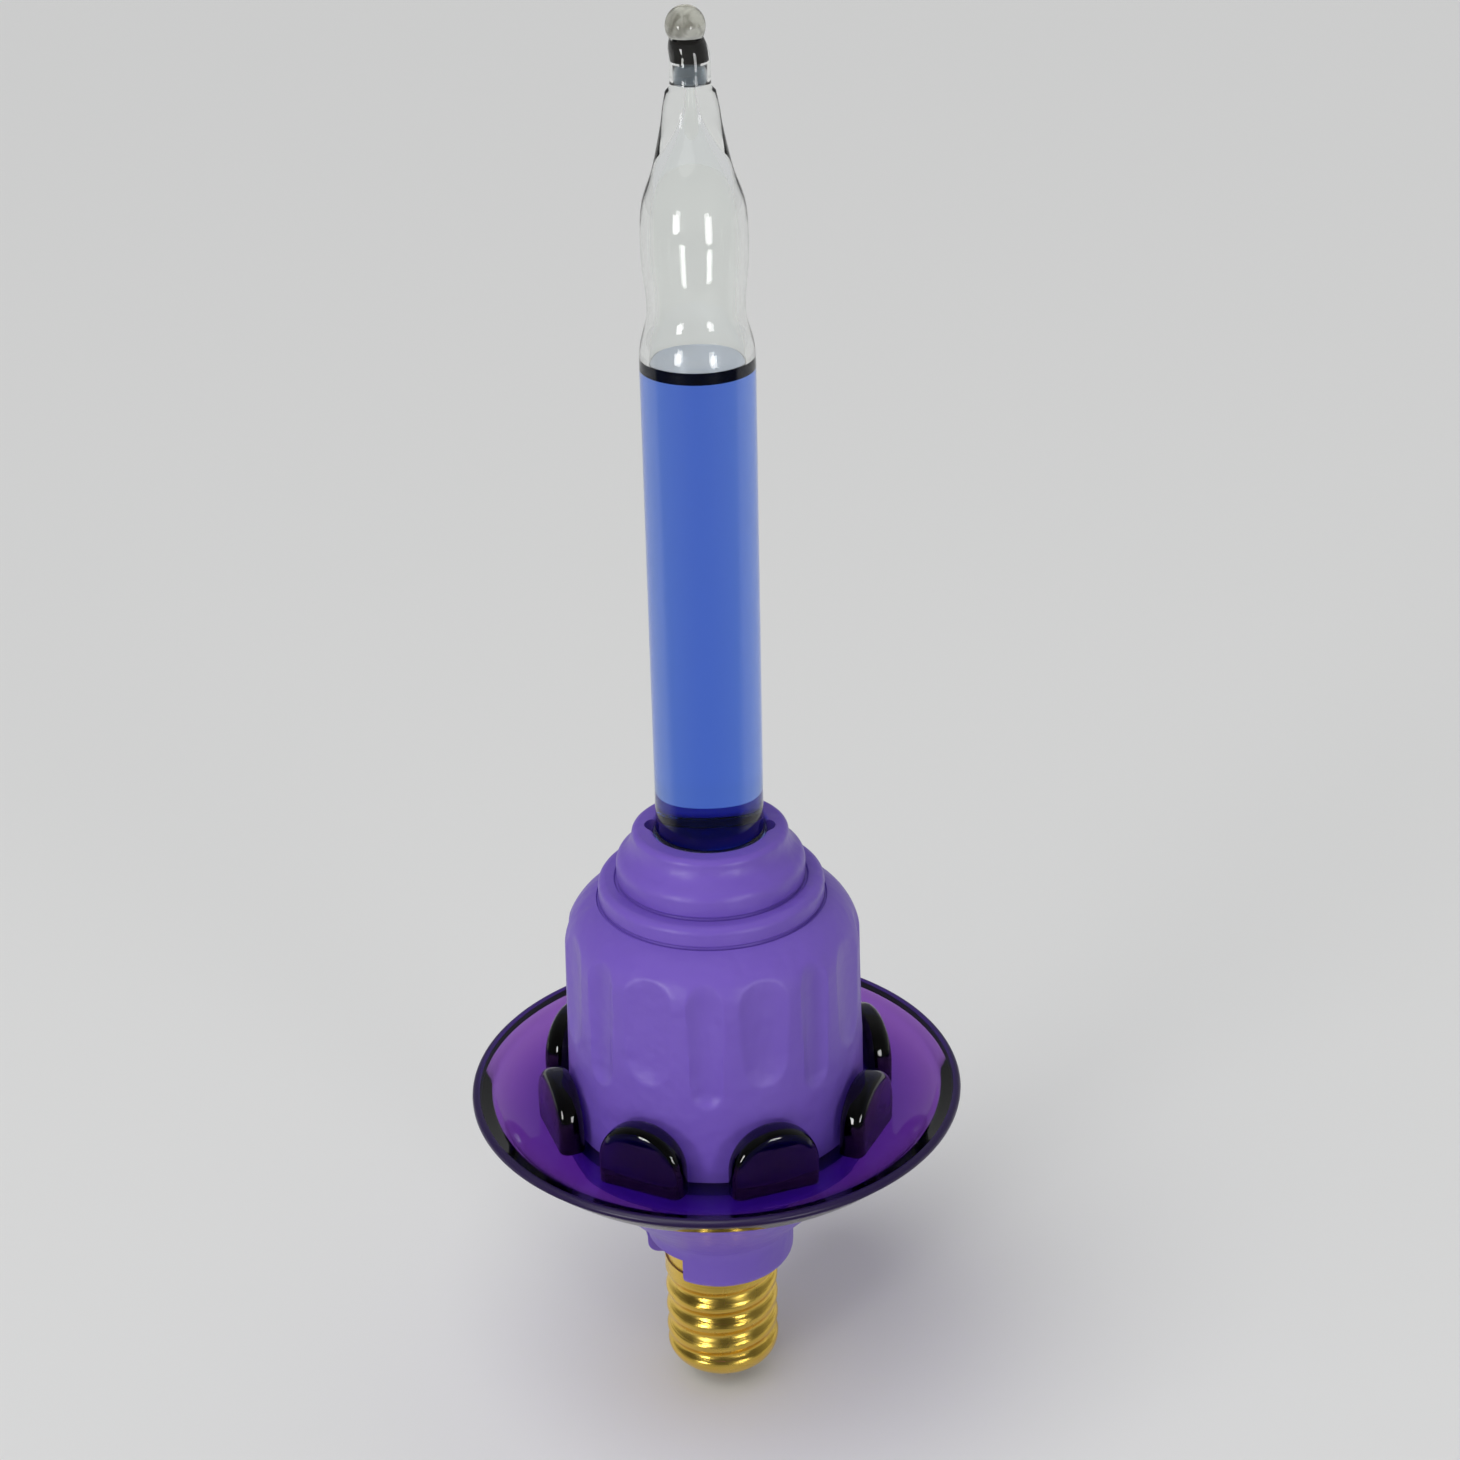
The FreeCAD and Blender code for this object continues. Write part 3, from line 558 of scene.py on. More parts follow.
# %% [markdown]
# ## Glass vial
# The real vial is a glass tube that was heated and drawn out by hand: it has a waist, a bulge, and a
# thin neck sealed with a knob. Light bends at both faces of the glass, so both are needed: the outside
# and the inside are drawn and spun apart, the inner skin is turned to face the cavity, and the two are
# joined in one mesh.

# %% Vial section
VIAL_WALL = VIAL_RADIUS - FLUID_RADIUS
TUBE_LENGTH = 51.5
TUBE_FOOT = VIAL_FOOT + VIAL_RADIUS
TUBE_TOP = VIAL_FOOT + TUBE_LENGTH
# The radius and height of points on the drawn head: waist, bulge, and the taper to the neck.
HEAD = [
    (VIAL_RADIUS, TUBE_TOP),
    (5.09, TUBE_TOP + 2.8),
    (4.38, TUBE_TOP + 5.9),
    (4.72, TUBE_TOP + 10.4),
    (4.74, TUBE_TOP + 13.0),
    (4.47, TUBE_TOP + 15.7),
    (3.52, TUBE_TOP + 18.45),
    (2.69, TUBE_TOP + 22.1),
    (2.47, TUBE_TOP + 23.6),
]
NECK_RADIUS = 1.77
KNOB_RADIUS = 1.74
KNOB_WAIST = 1.47
DROP_RADIUS = CHAMBER_RADIUS - 0.08
PLUG_RADIUS = CHAMBER_RADIUS + 0.04
knob_centre = VIAL_TOP - KNOB_RADIUS
waist_angle = -math.degrees(math.acos(KNOB_WAIST / KNOB_RADIUS))

outside = arc((0, TUBE_FOOT), VIAL_RADIUS, -90, 0, 20)
outside += smooth_curve(HEAD)
outside += smooth_curve([
    (2.2, CHAMBER_FOOT - 0.55),
    (1.85, CHAMBER_FOOT - 0.1),
    (NECK_RADIUS, CHAMBER_FOOT + 0.5),
    (NECK_RADIUS, NECK_FLUID_TOP),
    (1.72, NECK_TOP - 0.8),
], 4)
outside += arc((0, knob_centre), KNOB_RADIUS, waist_angle, 90, 14)

inside = arc((0, TUBE_FOOT), FLUID_RADIUS, -90, 0, 20)
inside += smooth_curve([(radius - VIAL_WALL, height) for radius, height in HEAD[:-2]] + [
    (1.75, TUBE_TOP + 20.2),
    (1.0, TUBE_TOP + 21.9),
    (0.55, TUBE_TOP + 23.4),
    (0.4, CHAMBER_FOOT - 0.9),
    (0.3, CHAMBER_FOOT - 0.2),
])
inside += [(DROP_RADIUS - 0.2, CHAMBER_FOOT), (DROP_RADIUS, CHAMBER_FOOT + 0.2)]
inside += [(DROP_RADIUS, NECK_FLUID_TOP - 0.1), (PLUG_RADIUS, NECK_FLUID_TOP + 0.15)]
inside += [(PLUG_RADIUS, NECK_TOP - 0.5), (PLUG_RADIUS - 0.3, NECK_TOP - 0.12), (0, NECK_TOP)]
print(len(outside), "points outside,", len(inside), "inside")

# %% Vial piece
KNOB_SHIFT = 0.3
KNOB_SHIFT_FOOT = NECK_TOP - 2.0
KNOB_SHIFT_TOP = NECK_TOP + 0.6


def turn_shell(name, outer, inner):
    """A closed hollow piece: an outer and an inner skin that are spun apart and joined in one mesh."""
    skin = turn(name, outer)
    hollow = turn(name + "_hollow", inner)
    pick(hollow)
    bpy.ops.object.mode_set(mode="EDIT")
    bpy.ops.mesh.select_all(action="SELECT")
    bpy.ops.mesh.flip_normals()
    bpy.ops.object.mode_set(mode="OBJECT")
    skin.select_set(True)
    bpy.context.view_layer.objects.active = skin
    bpy.ops.object.join()
    return skin


def lean_knob(piece):
    """Moves what is near the top of the neck a little to -X, where the knob was sealed on."""
    for vertex in piece.data.vertices:
        vertex.co.x -= fade(vertex.co.z / MM, KNOB_SHIFT_FOOT, KNOB_SHIFT_TOP) * KNOB_SHIFT * MM


vial = turn_shell("vial_glass_tube", outside, inside)
lean_knob(vial)
finish_piece(vial, "glass_vial", VIAL_GLASS)

# %% [markdown]
# ## Fluid
# The fluid's skin stands a hair inside the glass instead of just meeting it: two clear skins in one
# place would flicker, and a gap would shine like a mirror. Seen from above, a pale froth lies on the
# level, and its pale, partly metallic film also stands for the level's mirror-like reflection, a painted
# reflection. The edge where the fluid wets the glass looks like a nearly black line because light bends
# away there, and that line is painted shade. Both are small turned pieces of their own.

# %% Fluid pieces
WET = 0.03
EDGE_WIDTH = 0.3
EDGE_HEIGHT = 0.75
fluid_level = FLUID_TOP - 0.1
edge_foot = fluid_level - EDGE_HEIGHT
skin = FLUID_RADIUS + WET
fluid = arc((0, TUBE_FOOT), skin, -90, 0, 20)
fluid += rows_between((skin, TUBE_FOOT + 1), (skin, edge_foot), 4)
fluid += [(skin - EDGE_WIDTH, edge_foot + 0.03), (skin - EDGE_WIDTH, fluid_level), (0, fluid_level)]
blue_fluid = turn("blue_fluid_fill", fluid)
finish_piece(blue_fluid, "vial_fluid", BLUE_FLUID)


def extra_piece(piece, material):
    """A small piece that stands for no node of its own."""
    pick(piece)
    bpy.ops.object.shade_smooth_by_angle(angle=math.radians(40))
    piece.data.materials.append(material)
    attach(piece, "root")


# Painted shade: the nearly black ring where the fluid wets the glass.
fluid_edge_shade = turn("fluid_edge_shade_line", [
    (skin, edge_foot + 0.02),
    (skin, fluid_level + 0.1),
    (skin - 0.08, fluid_level + 0.3),
    (skin - EDGE_WIDTH + 0.02, fluid_level + 0.02),
    (skin - EDGE_WIDTH + 0.02, edge_foot + 0.05),
])
extra_piece(fluid_edge_shade, FLUID_EDGE_SHADE)
# Froth with a painted reflection: the pale film on the level.
froth_and_reflection = turn("fluid_froth_and_reflection_film", [
    (0, fluid_level + 0.02),
    (skin - EDGE_WIDTH + 0.1, fluid_level + 0.04),
    (skin - 0.12, fluid_level + 0.32),
    (skin - 0.5, fluid_level + 0.16),
    (0, fluid_level + 0.1),
])
extra_piece(froth_and_reflection, FLUID_FROTH_AND_REFLECTION)
print("fluid up to", round(fluid_level, 2), "mm, with its edge and froth")

# %% [markdown]
# In the bore of the neck a drop of the fluid was caught below the burnt black residue. Each is a short
# turned plug that fills the bore, and the residue leans with the knob above it.

# %% Drop and residue in the neck
neck_drop = turn("neck_drop", [
    (0, CHAMBER_FOOT - 0.05),
    (DROP_RADIUS - 0.12, CHAMBER_FOOT - 0.03),
    (DROP_RADIUS + WET, CHAMBER_FOOT + 0.2),
    (DROP_RADIUS + WET, NECK_FLUID_TOP - 0.1),
    (PLUG_RADIUS - 0.4, NECK_FLUID_TOP - 0.1),
    (0, NECK_FLUID_TOP - 0.12),
], 64)
finish_piece(neck_drop, "neck_fluid", NECK_FLUID)

neck_plug = turn("neck_plug", [
    (0, NECK_FLUID_TOP - 0.1),
    (PLUG_RADIUS - 0.4, NECK_FLUID_TOP - 0.05),
    (PLUG_RADIUS + WET, NECK_FLUID_TOP + 0.15),
    (PLUG_RADIUS + WET, NECK_TOP - 0.5),
    (PLUG_RADIUS - 0.3, NECK_TOP - 0.15),
    (0, NECK_TOP - 0.05),
], 64)
lean_knob(neck_plug)
finish_piece(neck_plug, "neck_residue", BLACK_RESIDUE)

# %% [markdown]
# Two clear skins that touch need care. Where the glass is wet, its inner face bends nothing, and the
# fluid's side bends light only by the small step between the two stuffs; otherwise both skins would
# mirror the room in front. So the index of refraction changes over a piece, by a mask of Math nodes.
# The taper below the neck is nearly solid glass, and at its full index it shows broad black edges that
# the real one hasn't. The index is lowered there little by little, so that only a thin line is left.

# %% How glass and fluid bend light
TAPER_LENGTH = 12.0
TAPER_EASE = 8.0
TAPER_END = 0.3
TAPER_INDEX = 1.25


def wet_mask(material, radius, level):
    """1 within a radius (mm) of the tube's axis, or of the centre of its round foot, below a level (mm)."""
    nodes, links = material.node_tree.nodes, material.node_tree.links
    place = split(nodes, links, object_place(nodes))
    over_centre = compute(nodes, links, "SUBTRACT", place["Z"], TUBE_FOOT * MM)
    below_centre = compute(nodes, links, "MINIMUM", over_centre, 0.0)
    reach = length(nodes, links, place["X"], place["Y"], below_centre)
    near = compute(nodes, links, "LESS_THAN", reach, radius * MM)
    low_enough = compute(nodes, links, "LESS_THAN", place["Z"], level * MM)
    return compute(nodes, links, "MULTIPLY", near, low_enough)


def taper_mask(material):
    """Grows from 0 to 1 up the taper below the neck, and ends at the foot of the drop."""
    nodes, links = material.node_tree.nodes, material.node_tree.links
    height = split(nodes, links, object_place(nodes))["Z"]
    foot = CHAMBER_FOOT - TAPER_LENGTH
    rise = ramp(nodes, links, height, foot * MM, (foot + TAPER_EASE) * MM)
    fall = ramp(nodes, links, height, (CHAMBER_FOOT - TAPER_END) * MM, CHAMBER_FOOT * MM, 1.0, 0.0)
    return compute(nodes, links, "MULTIPLY", rise, fall)


def change_index(material, mask, index):
    """Takes the index of refraction from what it is to another one, as the mask says."""
    nodes, links = material.node_tree.nodes, material.node_tree.links
    socket = nodes["Principled BSDF"].inputs["IOR"]
    usual = socket.links[0].from_socket if socket.links else socket.default_value
    links.new(ramp(nodes, links, mask, 0.0, 1.0, usual, index), socket)


change_index(VIAL_GLASS, wet_mask(VIAL_GLASS, VIAL_RADIUS - VIAL_WALL / 2, fluid_level + 0.3), 1.0)
change_index(VIAL_GLASS, taper_mask(VIAL_GLASS), TAPER_INDEX)
change_index(BLUE_FLUID, wet_mask(BLUE_FLUID, VIAL_RADIUS, fluid_level - 0.01), FLUID_INDEX / GLASS_INDEX)
print("index of the fluid's side", round(FLUID_INDEX / GLASS_INDEX, 3))

# %% [markdown]
# ## Dome
# The dome is one opaque moulding: two stepped tiers and a ring round the hole, a round shoulder, and a
# wall with sixteen flutes, wide and narrow in turn. The section is spun with many rows and columns, and
# the flutes are pressed into that fine mesh: a vertex group says how deep each point goes, and a
# Displace modifier moves it. That gives the soft edges of a moulding, which a cut would leave sharp.

# %% Dome section
# From the top down: the ring round the hole, the hollow under it, the brow, the upper and lower tiers
# and the shoulder. A FOOT or TOP is a height and a RADIUS is measured from the axis.
DOME_WALL = 1.45
DOME_DRAFT = 0.35
TOP_ROUND = 0.65
COVE_TOP = DOME_TOP - TOP_ROUND
BROW_TOP = COVE_TOP - 1.95
BROW_FOOT = BROW_TOP - 1.17
UPPER_FOOT = BROW_FOOT - 1.53
LOWER_FOOT = UPPER_FOOT - 2.1
SHOULDER_FOOT = LOWER_FOOT - 4.9
SHOULDER_RADIUS = DOME_RADIUS - DOME_DRAFT
LOWER_RADIUS = 11.05
UPPER_RADIUS = 9.2
BROW_RADIUS = 8.6
RING_RADIUS = 7.6
HOLE_RADIUS = GLUE_RADIUS
TIER_ROUND = 0.8


def groove(radius, foot):
    """The dark line that runs round a tier where it stands on the one below."""
    return [
        (radius + 0.3, foot - 0.06),
        (radius + 0.14, foot - 0.26),
        (radius - 0.1, foot - 0.26),
        (radius - 0.15, foot),
        (radius - 0.02, foot + 0.24),
    ]


dome = rows_between((DOME_RADIUS, DOME_FOOT), (SHOULDER_RADIUS, SHOULDER_FOOT), 0.3)
dome += level_arc((SHOULDER_RADIUS, SHOULDER_FOOT), (LOWER_RADIUS, LOWER_FOOT), 24)[1:-1]
dome += groove(LOWER_RADIUS, LOWER_FOOT)[1:]
dome += arc((LOWER_RADIUS - TIER_ROUND, UPPER_FOOT - TIER_ROUND), TIER_ROUND, 0, 90, 10)
dome += groove(UPPER_RADIUS, UPPER_FOOT)
dome += level_arc((UPPER_RADIUS, BROW_FOOT), (BROW_RADIUS, BROW_TOP), 8)
dome += list(reversed(level_arc((RING_RADIUS, COVE_TOP), (BROW_RADIUS, BROW_TOP), 10)))[1:]
dome += arc((RING_RADIUS - TOP_ROUND, COVE_TOP), TOP_ROUND, 10, 90)
dome += arc((HOLE_RADIUS + 0.4, DOME_TOP - 0.4), 0.4, 90, 180)
dome += [
    (HOLE_RADIUS, BROW_TOP - DOME_WALL),
    (UPPER_RADIUS - DOME_WALL, BROW_TOP - DOME_WALL),
    (UPPER_RADIUS - DOME_WALL, UPPER_FOOT - DOME_WALL),
    (LOWER_RADIUS - DOME_WALL, UPPER_FOOT - DOME_WALL),
]
inner_shoulder_top = (LOWER_RADIUS - DOME_WALL, LOWER_FOOT - DOME_WALL)
dome += reversed(level_arc((SHOULDER_RADIUS - DOME_WALL, SHOULDER_FOOT), inner_shoulder_top, 10))
dome += [(SHOULDER_RADIUS - DOME_WALL, DOME_FOOT), (DOME_RADIUS - 0.25, DOME_FOOT)]
dome_cover = turn("dome_moulding", dome, 400)
print("dome", len(dome), "rows")

# %% Flutes
FLUTE_PAIRS = 8
FLUTE_LEAN = math.tan(math.radians(2.2))
# Each kind of flute: the angle of its first one, its cutting radius, its depth and its foot.
FLUTES = [
    (0.0, 3.2, 0.65, DOME_FOOT + 7.9),
    (180.0 / FLUTE_PAIRS, 9.0, 0.7, DOME_FOOT + 9.3),
]
DEEPEST = 1.1
FLUTE_EDGE = 0.012
LEAST_DEPTH = 0.004
LEAST_SLANT = 0.3


def cut_depth(radius, angle, height, flute):
    """How far (mm) a leaning round cutter with a round lower end reaches below a point of the wall."""
    first, bend, depth, foot = flute
    pitch = 360.0 / FLUTE_PAIRS
    turned = (angle - first + pitch / 2) % pitch - pitch / 2
    end = foot + math.sqrt(2 * bend * depth)
    centre = DOME_RADIUS - depth + bend - FLUTE_LEAN * (height - end)
    side = radius * math.sin(math.radians(turned))
    reach = bend ** 2 - side ** 2 - max(0.0, end - height) ** 2
    if reach <= 0:
        return -1.0
    return radius * math.cos(math.radians(turned)) - (centre - math.sqrt(reach))


def soften(depth):
    """Rounds the edge where a flute begins."""
    return (depth + math.sqrt(depth ** 2 + FLUTE_EDGE ** 2)) / 2


def press(piece, group, weights, deepest):
    """Moves points along their normals by their weight, as far as deepest (mm)."""
    vertex_group = piece.vertex_groups.new(name=group)
    for index, weight in weights.items():
        vertex_group.add([index], weight, "REPLACE")
    apply_modifier(
        piece, "DISPLACE", direction="NORMAL", strength=deepest * MM, mid_level=0.0, vertex_group=group
    )


flute_weights = {}
for vertex in dome_cover.data.vertices:
    x, y, z = vertex.co / MM
    radius = math.hypot(x, y)
    outward = vertex.normal.xy.dot(vertex.co.xy) >= 0 and vertex.normal.xy.length >= LEAST_SLANT
    if not outward or z > LOWER_FOOT:
        continue
    angle = math.degrees(math.atan2(y, x))
    depth = soften(max(cut_depth(radius, angle, z, flute) for flute in FLUTES))
    if depth > LEAST_DEPTH:
        flute_weights[vertex.index] = min(depth * vertex.normal.xy.length / DEEPEST, 1.0)
press(dome_cover, "flutes", flute_weights, -DEEPEST)
print(len(flute_weights), "points pressed in")

# %% [markdown]
# Two notches in the edge of the hole, left and right, are cut with a Boolean: a round post is stood in
# each place and taken away from the dome.

# %% Notches
NOTCH_RADIUS = 1.35
NOTCH_REACH = 0.8
NOTCH_DEPTH = 3.2


def combine(piece, other, operation):
    """Joins another solid to a piece (UNION) or cuts it away (DIFFERENCE), and removes that solid."""
    apply_modifier(piece, "BOOLEAN", operation=operation, solver="EXACT", object=other)
    bpy.data.objects.remove(other)


for side in (-1, 1):
    deselect()
    bpy.ops.mesh.primitive_cylinder_add(
        vertices=32,
        radius=NOTCH_RADIUS * MM,
        depth=2 * NOTCH_DEPTH * MM,
        location=(side * (HOLE_RADIUS + NOTCH_REACH - NOTCH_RADIUS) * MM, 0, DOME_TOP * MM),
    )
    combine(dome_cover, bpy.context.object, "DIFFERENCE")
finish_piece(dome_cover, "dome_cover", SATIN_VIOLET, smooth=24)

# %% [markdown]
# ## Drip saucer
# The saucer and its eight tabs are one clear moulding. In a clear piece every face inside it would show,
# so the tabs are joined to the dish with a Boolean union and nothing is left hidden in the plastic.
# The dish is turned first: a floor, a rise to a sloping land, and a round bead at the rim.

# %% Saucer dish
SAUCER_FLOOR = DOME_FOOT
TAB_INSIDE = DOME_RADIUS + 0.2
TAB_OUTSIDE = TAB_INSIDE + 2.6
# The rim ends in a bead of the radius RIM_EDGE. Inside it a land, RIM_LAND wide, drops by RIM_DROP to the
# rise. RIM_WALL and RIM_LIP say how thick the plastic is below the land and at the bead.
RIM_TOP = SAUCER_FLOOR + 2.5
RIM_EDGE = 0.45
RIM_LAND = 2.1
RIM_DROP = 0.7
RIM_WALL = 1.5
RIM_LIP = 0.85
FLOOR_RADIUS = TAB_OUTSIDE + 0.9
SPIGOT_RADIUS = SHOULDER_RADIUS - DOME_WALL - 0.05
DISH_HOLE = SPIGOT_RADIUS + 0.05
land_foot = (SAUCER_RADIUS - RIM_LAND, RIM_TOP - RIM_DROP)
under_land = (land_foot[0], land_foot[1] - RIM_WALL - 0.4)

dish = [(DISH_HOLE, SAUCER_FOOT)]
dish += plumb_arc((FLOOR_RADIUS - 1.0, SAUCER_FOOT), under_land, 16)
dish += [(SAUCER_RADIUS - RIM_EDGE - 0.2, RIM_TOP - RIM_LIP - 0.35)]
dish += [(SAUCER_RADIUS - RIM_EDGE + 0.1, RIM_TOP - RIM_LIP + 0.04)]
dish += arc((SAUCER_RADIUS - RIM_EDGE, RIM_TOP - RIM_EDGE), RIM_EDGE, -20, 110, 12)
dish += rows_between((SAUCER_RADIUS - 0.75, RIM_TOP - 0.1), (land_foot[0] + 0.2, land_foot[1] + 0.1), 0.2)
dish += reversed(plumb_arc((FLOOR_RADIUS, SAUCER_FLOOR), land_foot, 16))
dish += [(DISH_HOLE, SAUCER_FLOOR)]
saucer = turn("drip_saucer_moulding", dish, 256)
print("dish", len(dish), "rows")

# %% [markdown]
# A tab is a flat block with a round top and well rounded edges, which carry the small glints. One is
# drawn on the -Y side: its arched outline gets a face, the face is extruded, and a Bevel rounds the
# edges. Eight copies are turned into place and joined to the dish. The lip of the dish is rougher and
# cloudier than the rest, so its faces get a second finish.

# %% Tabs
TAB_COUNT = 8
TAB_TURN = 22.5
TAB_WIDTH = 8.9
TAB_SINK = 1.3
TAB_EDGE = 0.95
LIP_WIDTH = 0.7


def make_tab():
    """One tab on the -Y side: an arched outline made into a block, its edges rounded."""
    foot = SAUCER_FLOOR - TAB_SINK
    half = TAB_WIDTH / 2
    top = arc((0, TAB_TOP - half), half, 180, 0, 28)
    tab = draw_section("tab_block", [(-half, foot)] + top + [(half, foot)])
    bpy.ops.object.mode_set(mode="EDIT")
    bpy.ops.mesh.select_all(action="SELECT")
    bpy.ops.mesh.edge_face_add()
    bpy.ops.transform.translate(value=(0, -TAB_OUTSIDE * MM, 0))
    inwards = (0, (TAB_OUTSIDE - TAB_INSIDE) * MM, 0)
    bpy.ops.mesh.extrude_region_move(TRANSFORM_OT_translate={"value": inwards})
    bpy.ops.object.mode_set(mode="OBJECT")
    clean(tab)
    apply_modifier(
        tab, "BEVEL", width=TAB_EDGE * MM, segments=5, limit_method="ANGLE", angle_limit=math.radians(40)
    )
    print("tab", len(tab.data.polygons), "faces, size", [round(side / MM, 2) for side in tab.dimensions])
    return tab


first_tab = make_tab()
for number in range(TAB_COUNT):
    tab = first_tab.copy()
    tab.data = first_tab.data.copy()
    bpy.context.collection.objects.link(tab)
    tab.data.transform(Matrix.Rotation(math.radians(360 / TAB_COUNT * number + TAB_TURN), 4, "Z"))
    combine(saucer, tab, "UNION")
bpy.data.objects.remove(first_tab)
finish_piece(saucer, "drip_saucer", CLEAR_VIOLET, smooth=40)
saucer.data.materials.append(CLOUDY_VIOLET)
lip = [face for face in saucer.data.polygons if face.center.xy.length / MM > SAUCER_RADIUS - LIP_WIDTH]
for face in lip:
    face.material_index = 1
print(len(lip), "faces of the lip")

# %% [markdown]
# ## Housing
# The housing holds the brass shell in its collar, flares out under the saucer and carries the dome on a
# ring. A slot in the collar's side shows the brass, and a small torn tooth of plastic hangs beside it.

# %% Housing
COLLAR_BORE = SHELL_RADIUS - 0.13
COLLAR_RADIUS = 7.6
FLARE_FOOT = HOUSING_FOOT + 3.4
HOUSING_WALL = 1.4
FLANGE_FOOT = SAUCER_FOOT - 1.2

cone_foot = (COLLAR_RADIUS + 0.9, FLARE_FOOT + 2.0)
cone_top = (cone_foot[0] + 5.5, cone_foot[1] + 6.2)
section = [(COLLAR_BORE, HOUSING_FOOT), (COLLAR_BORE + 0.4, HOUSING_FOOT)]
section += reversed(
    level_arc((COLLAR_RADIUS, HOUSING_FOOT + 1.25), (COLLAR_BORE + 0.55, HOUSING_FOOT + 0.02), 10)
)
section += rows_between((COLLAR_RADIUS, HOUSING_FOOT + 1.3), (COLLAR_RADIUS, FLARE_FOOT), 0.3)[1:]
section += level_arc((COLLAR_RADIUS, FLARE_FOOT), cone_foot)[1:]
section += rows_between(cone_foot, cone_top, 0.5)[1:]
section += list(reversed(level_arc((HOUSING_RADIUS, FLANGE_FOOT), cone_top, 20)))[1:]
section += [
    (HOUSING_RADIUS, SAUCER_FOOT),
    (SPIGOT_RADIUS, SAUCER_FOOT),
    (SPIGOT_RADIUS, HOUSING_TOP),
    (SPIGOT_RADIUS - HOUSING_WALL, HOUSING_TOP),
    (SPIGOT_RADIUS - HOUSING_WALL, FLANGE_FOOT),
]
inner_cone_top = (cone_top[0] - HOUSING_WALL, cone_top[1] + HOUSING_WALL / 2)
section += level_arc((HOUSING_RADIUS - HOUSING_WALL, FLANGE_FOOT), inner_cone_top)
section += [(cone_foot[0] - HOUSING_WALL, cone_foot[1] + HOUSING_WALL / 2)]
section += [(COLLAR_BORE, cone_foot[1] + HOUSING_WALL / 2)]
housing = turn("housing_moulding", section, 224)
print("housing", len(section), "rows")

# %% [markdown]
# The slot's cutter is a rectangle spun through part of a turn, with its two ends filled. The torn tooth
# is a thin cone that points down, sunk into the collar's foot.

# %% Slot and tooth
SLOT_ANGLE = 54.0
SLOT_TURN = -144.5
SLOT_HEIGHT = 3.2
WEDGE_STEPS = 24
TOOTH_RADIUS = 0.6
TOOTH_TIP = 0.08
TOOTH_LENGTH = 1.4
TOOTH_TILT = math.radians(-172)


def wedge(name, inner, outer, low, high, middle, angle):
    """A block bent round the axis: a drawn rectangle spun through part of a turn."""
    piece = draw_section(name, [(inner, low), (outer, low), (outer, high), (inner, high)])
    apply_modifier(
        piece, "SCREW", angle=math.radians(angle), steps=WEDGE_STEPS, render_steps=WEDGE_STEPS
    )
    pick(piece)
    bpy.ops.object.mode_set(mode="EDIT")
    bpy.ops.mesh.select_all(action="SELECT")
    bpy.ops.mesh.remove_doubles(threshold=SEAM)
    bpy.ops.mesh.fill_holes(sides=0)
    bpy.ops.mesh.normals_make_consistent(inside=False)
    bpy.ops.object.mode_set(mode="OBJECT")
    piece.data.transform(Matrix.Rotation(math.radians(middle - angle / 2), 4, "Z"))
    return piece


slot = wedge(
    "slot_cutter",
    COLLAR_BORE - 0.05,
    COLLAR_RADIUS + 1,
    HOUSING_FOOT - 1,
    HOUSING_FOOT + SLOT_HEIGHT,
    SLOT_TURN,
    SLOT_ANGLE,
)
combine(housing, slot, "DIFFERENCE")
deselect()
bpy.ops.mesh.primitive_cone_add(
    vertices=10,
    radius1=TOOTH_RADIUS * MM,
    radius2=TOOTH_TIP * MM,
    depth=TOOTH_LENGTH * MM,
    location=(-(COLLAR_RADIUS - 0.3) * MM, 0, (HOUSING_FOOT + 1.1) * MM),
    rotation=(0, TOOTH_TILT, 0),
)
combine(housing, bpy.context.object, "UNION")
finish_piece(housing, "lower_housing", SATIN_VIOLET, smooth=45)

# %% [markdown]
# ## Screw shell
# The brass shell is a thin tube with a round thread rolled into it. A fine tube is spun first, and the
# thread is pressed in like the flutes: each point's weight follows a wave that climbs by one pitch for
# each turn, and fades out at the lip and at the plain band, as a rolled thread does.

# %% Screw shell
THREAD_PITCH = 2.54
THREAD_DEPTH = 0.55
THREAD_POWER = 1.2
LIP_RADIUS = 3.8
LIP_HEIGHT = 2.4
SHELL_WALL = 0.3
SHELL_BORE = 5.0
BAND = 1.4
SEAT_RADIUS = COLLAR_BORE - 0.05
THREAD_FOOT = SHELL_FOOT + LIP_HEIGHT
THREAD_TOP = HOUSING_FOOT - BAND

shell = list(reversed(level_arc((SHELL_RADIUS, THREAD_FOOT), (LIP_RADIUS, SHELL_FOOT), 14)))
shell += rows_between((SHELL_RADIUS, THREAD_FOOT), (SHELL_RADIUS, HOUSING_FOOT - 0.1), 0.12)[1:]
shell += [(SEAT_RADIUS, HOUSING_FOOT), (SEAT_RADIUS, SHELL_TOP), (SEAT_RADIUS - SHELL_WALL, SHELL_TOP)]
shell += [(SHELL_RADIUS - THREAD_DEPTH - SHELL_WALL, THREAD_TOP), (SHELL_BORE, THREAD_FOOT)]
shell += [(LIP_RADIUS, SHELL_FOOT + 0.9)]
screw_shell = turn("screw_shell_rolled", shell)
print("shell", len(shell), "rows")

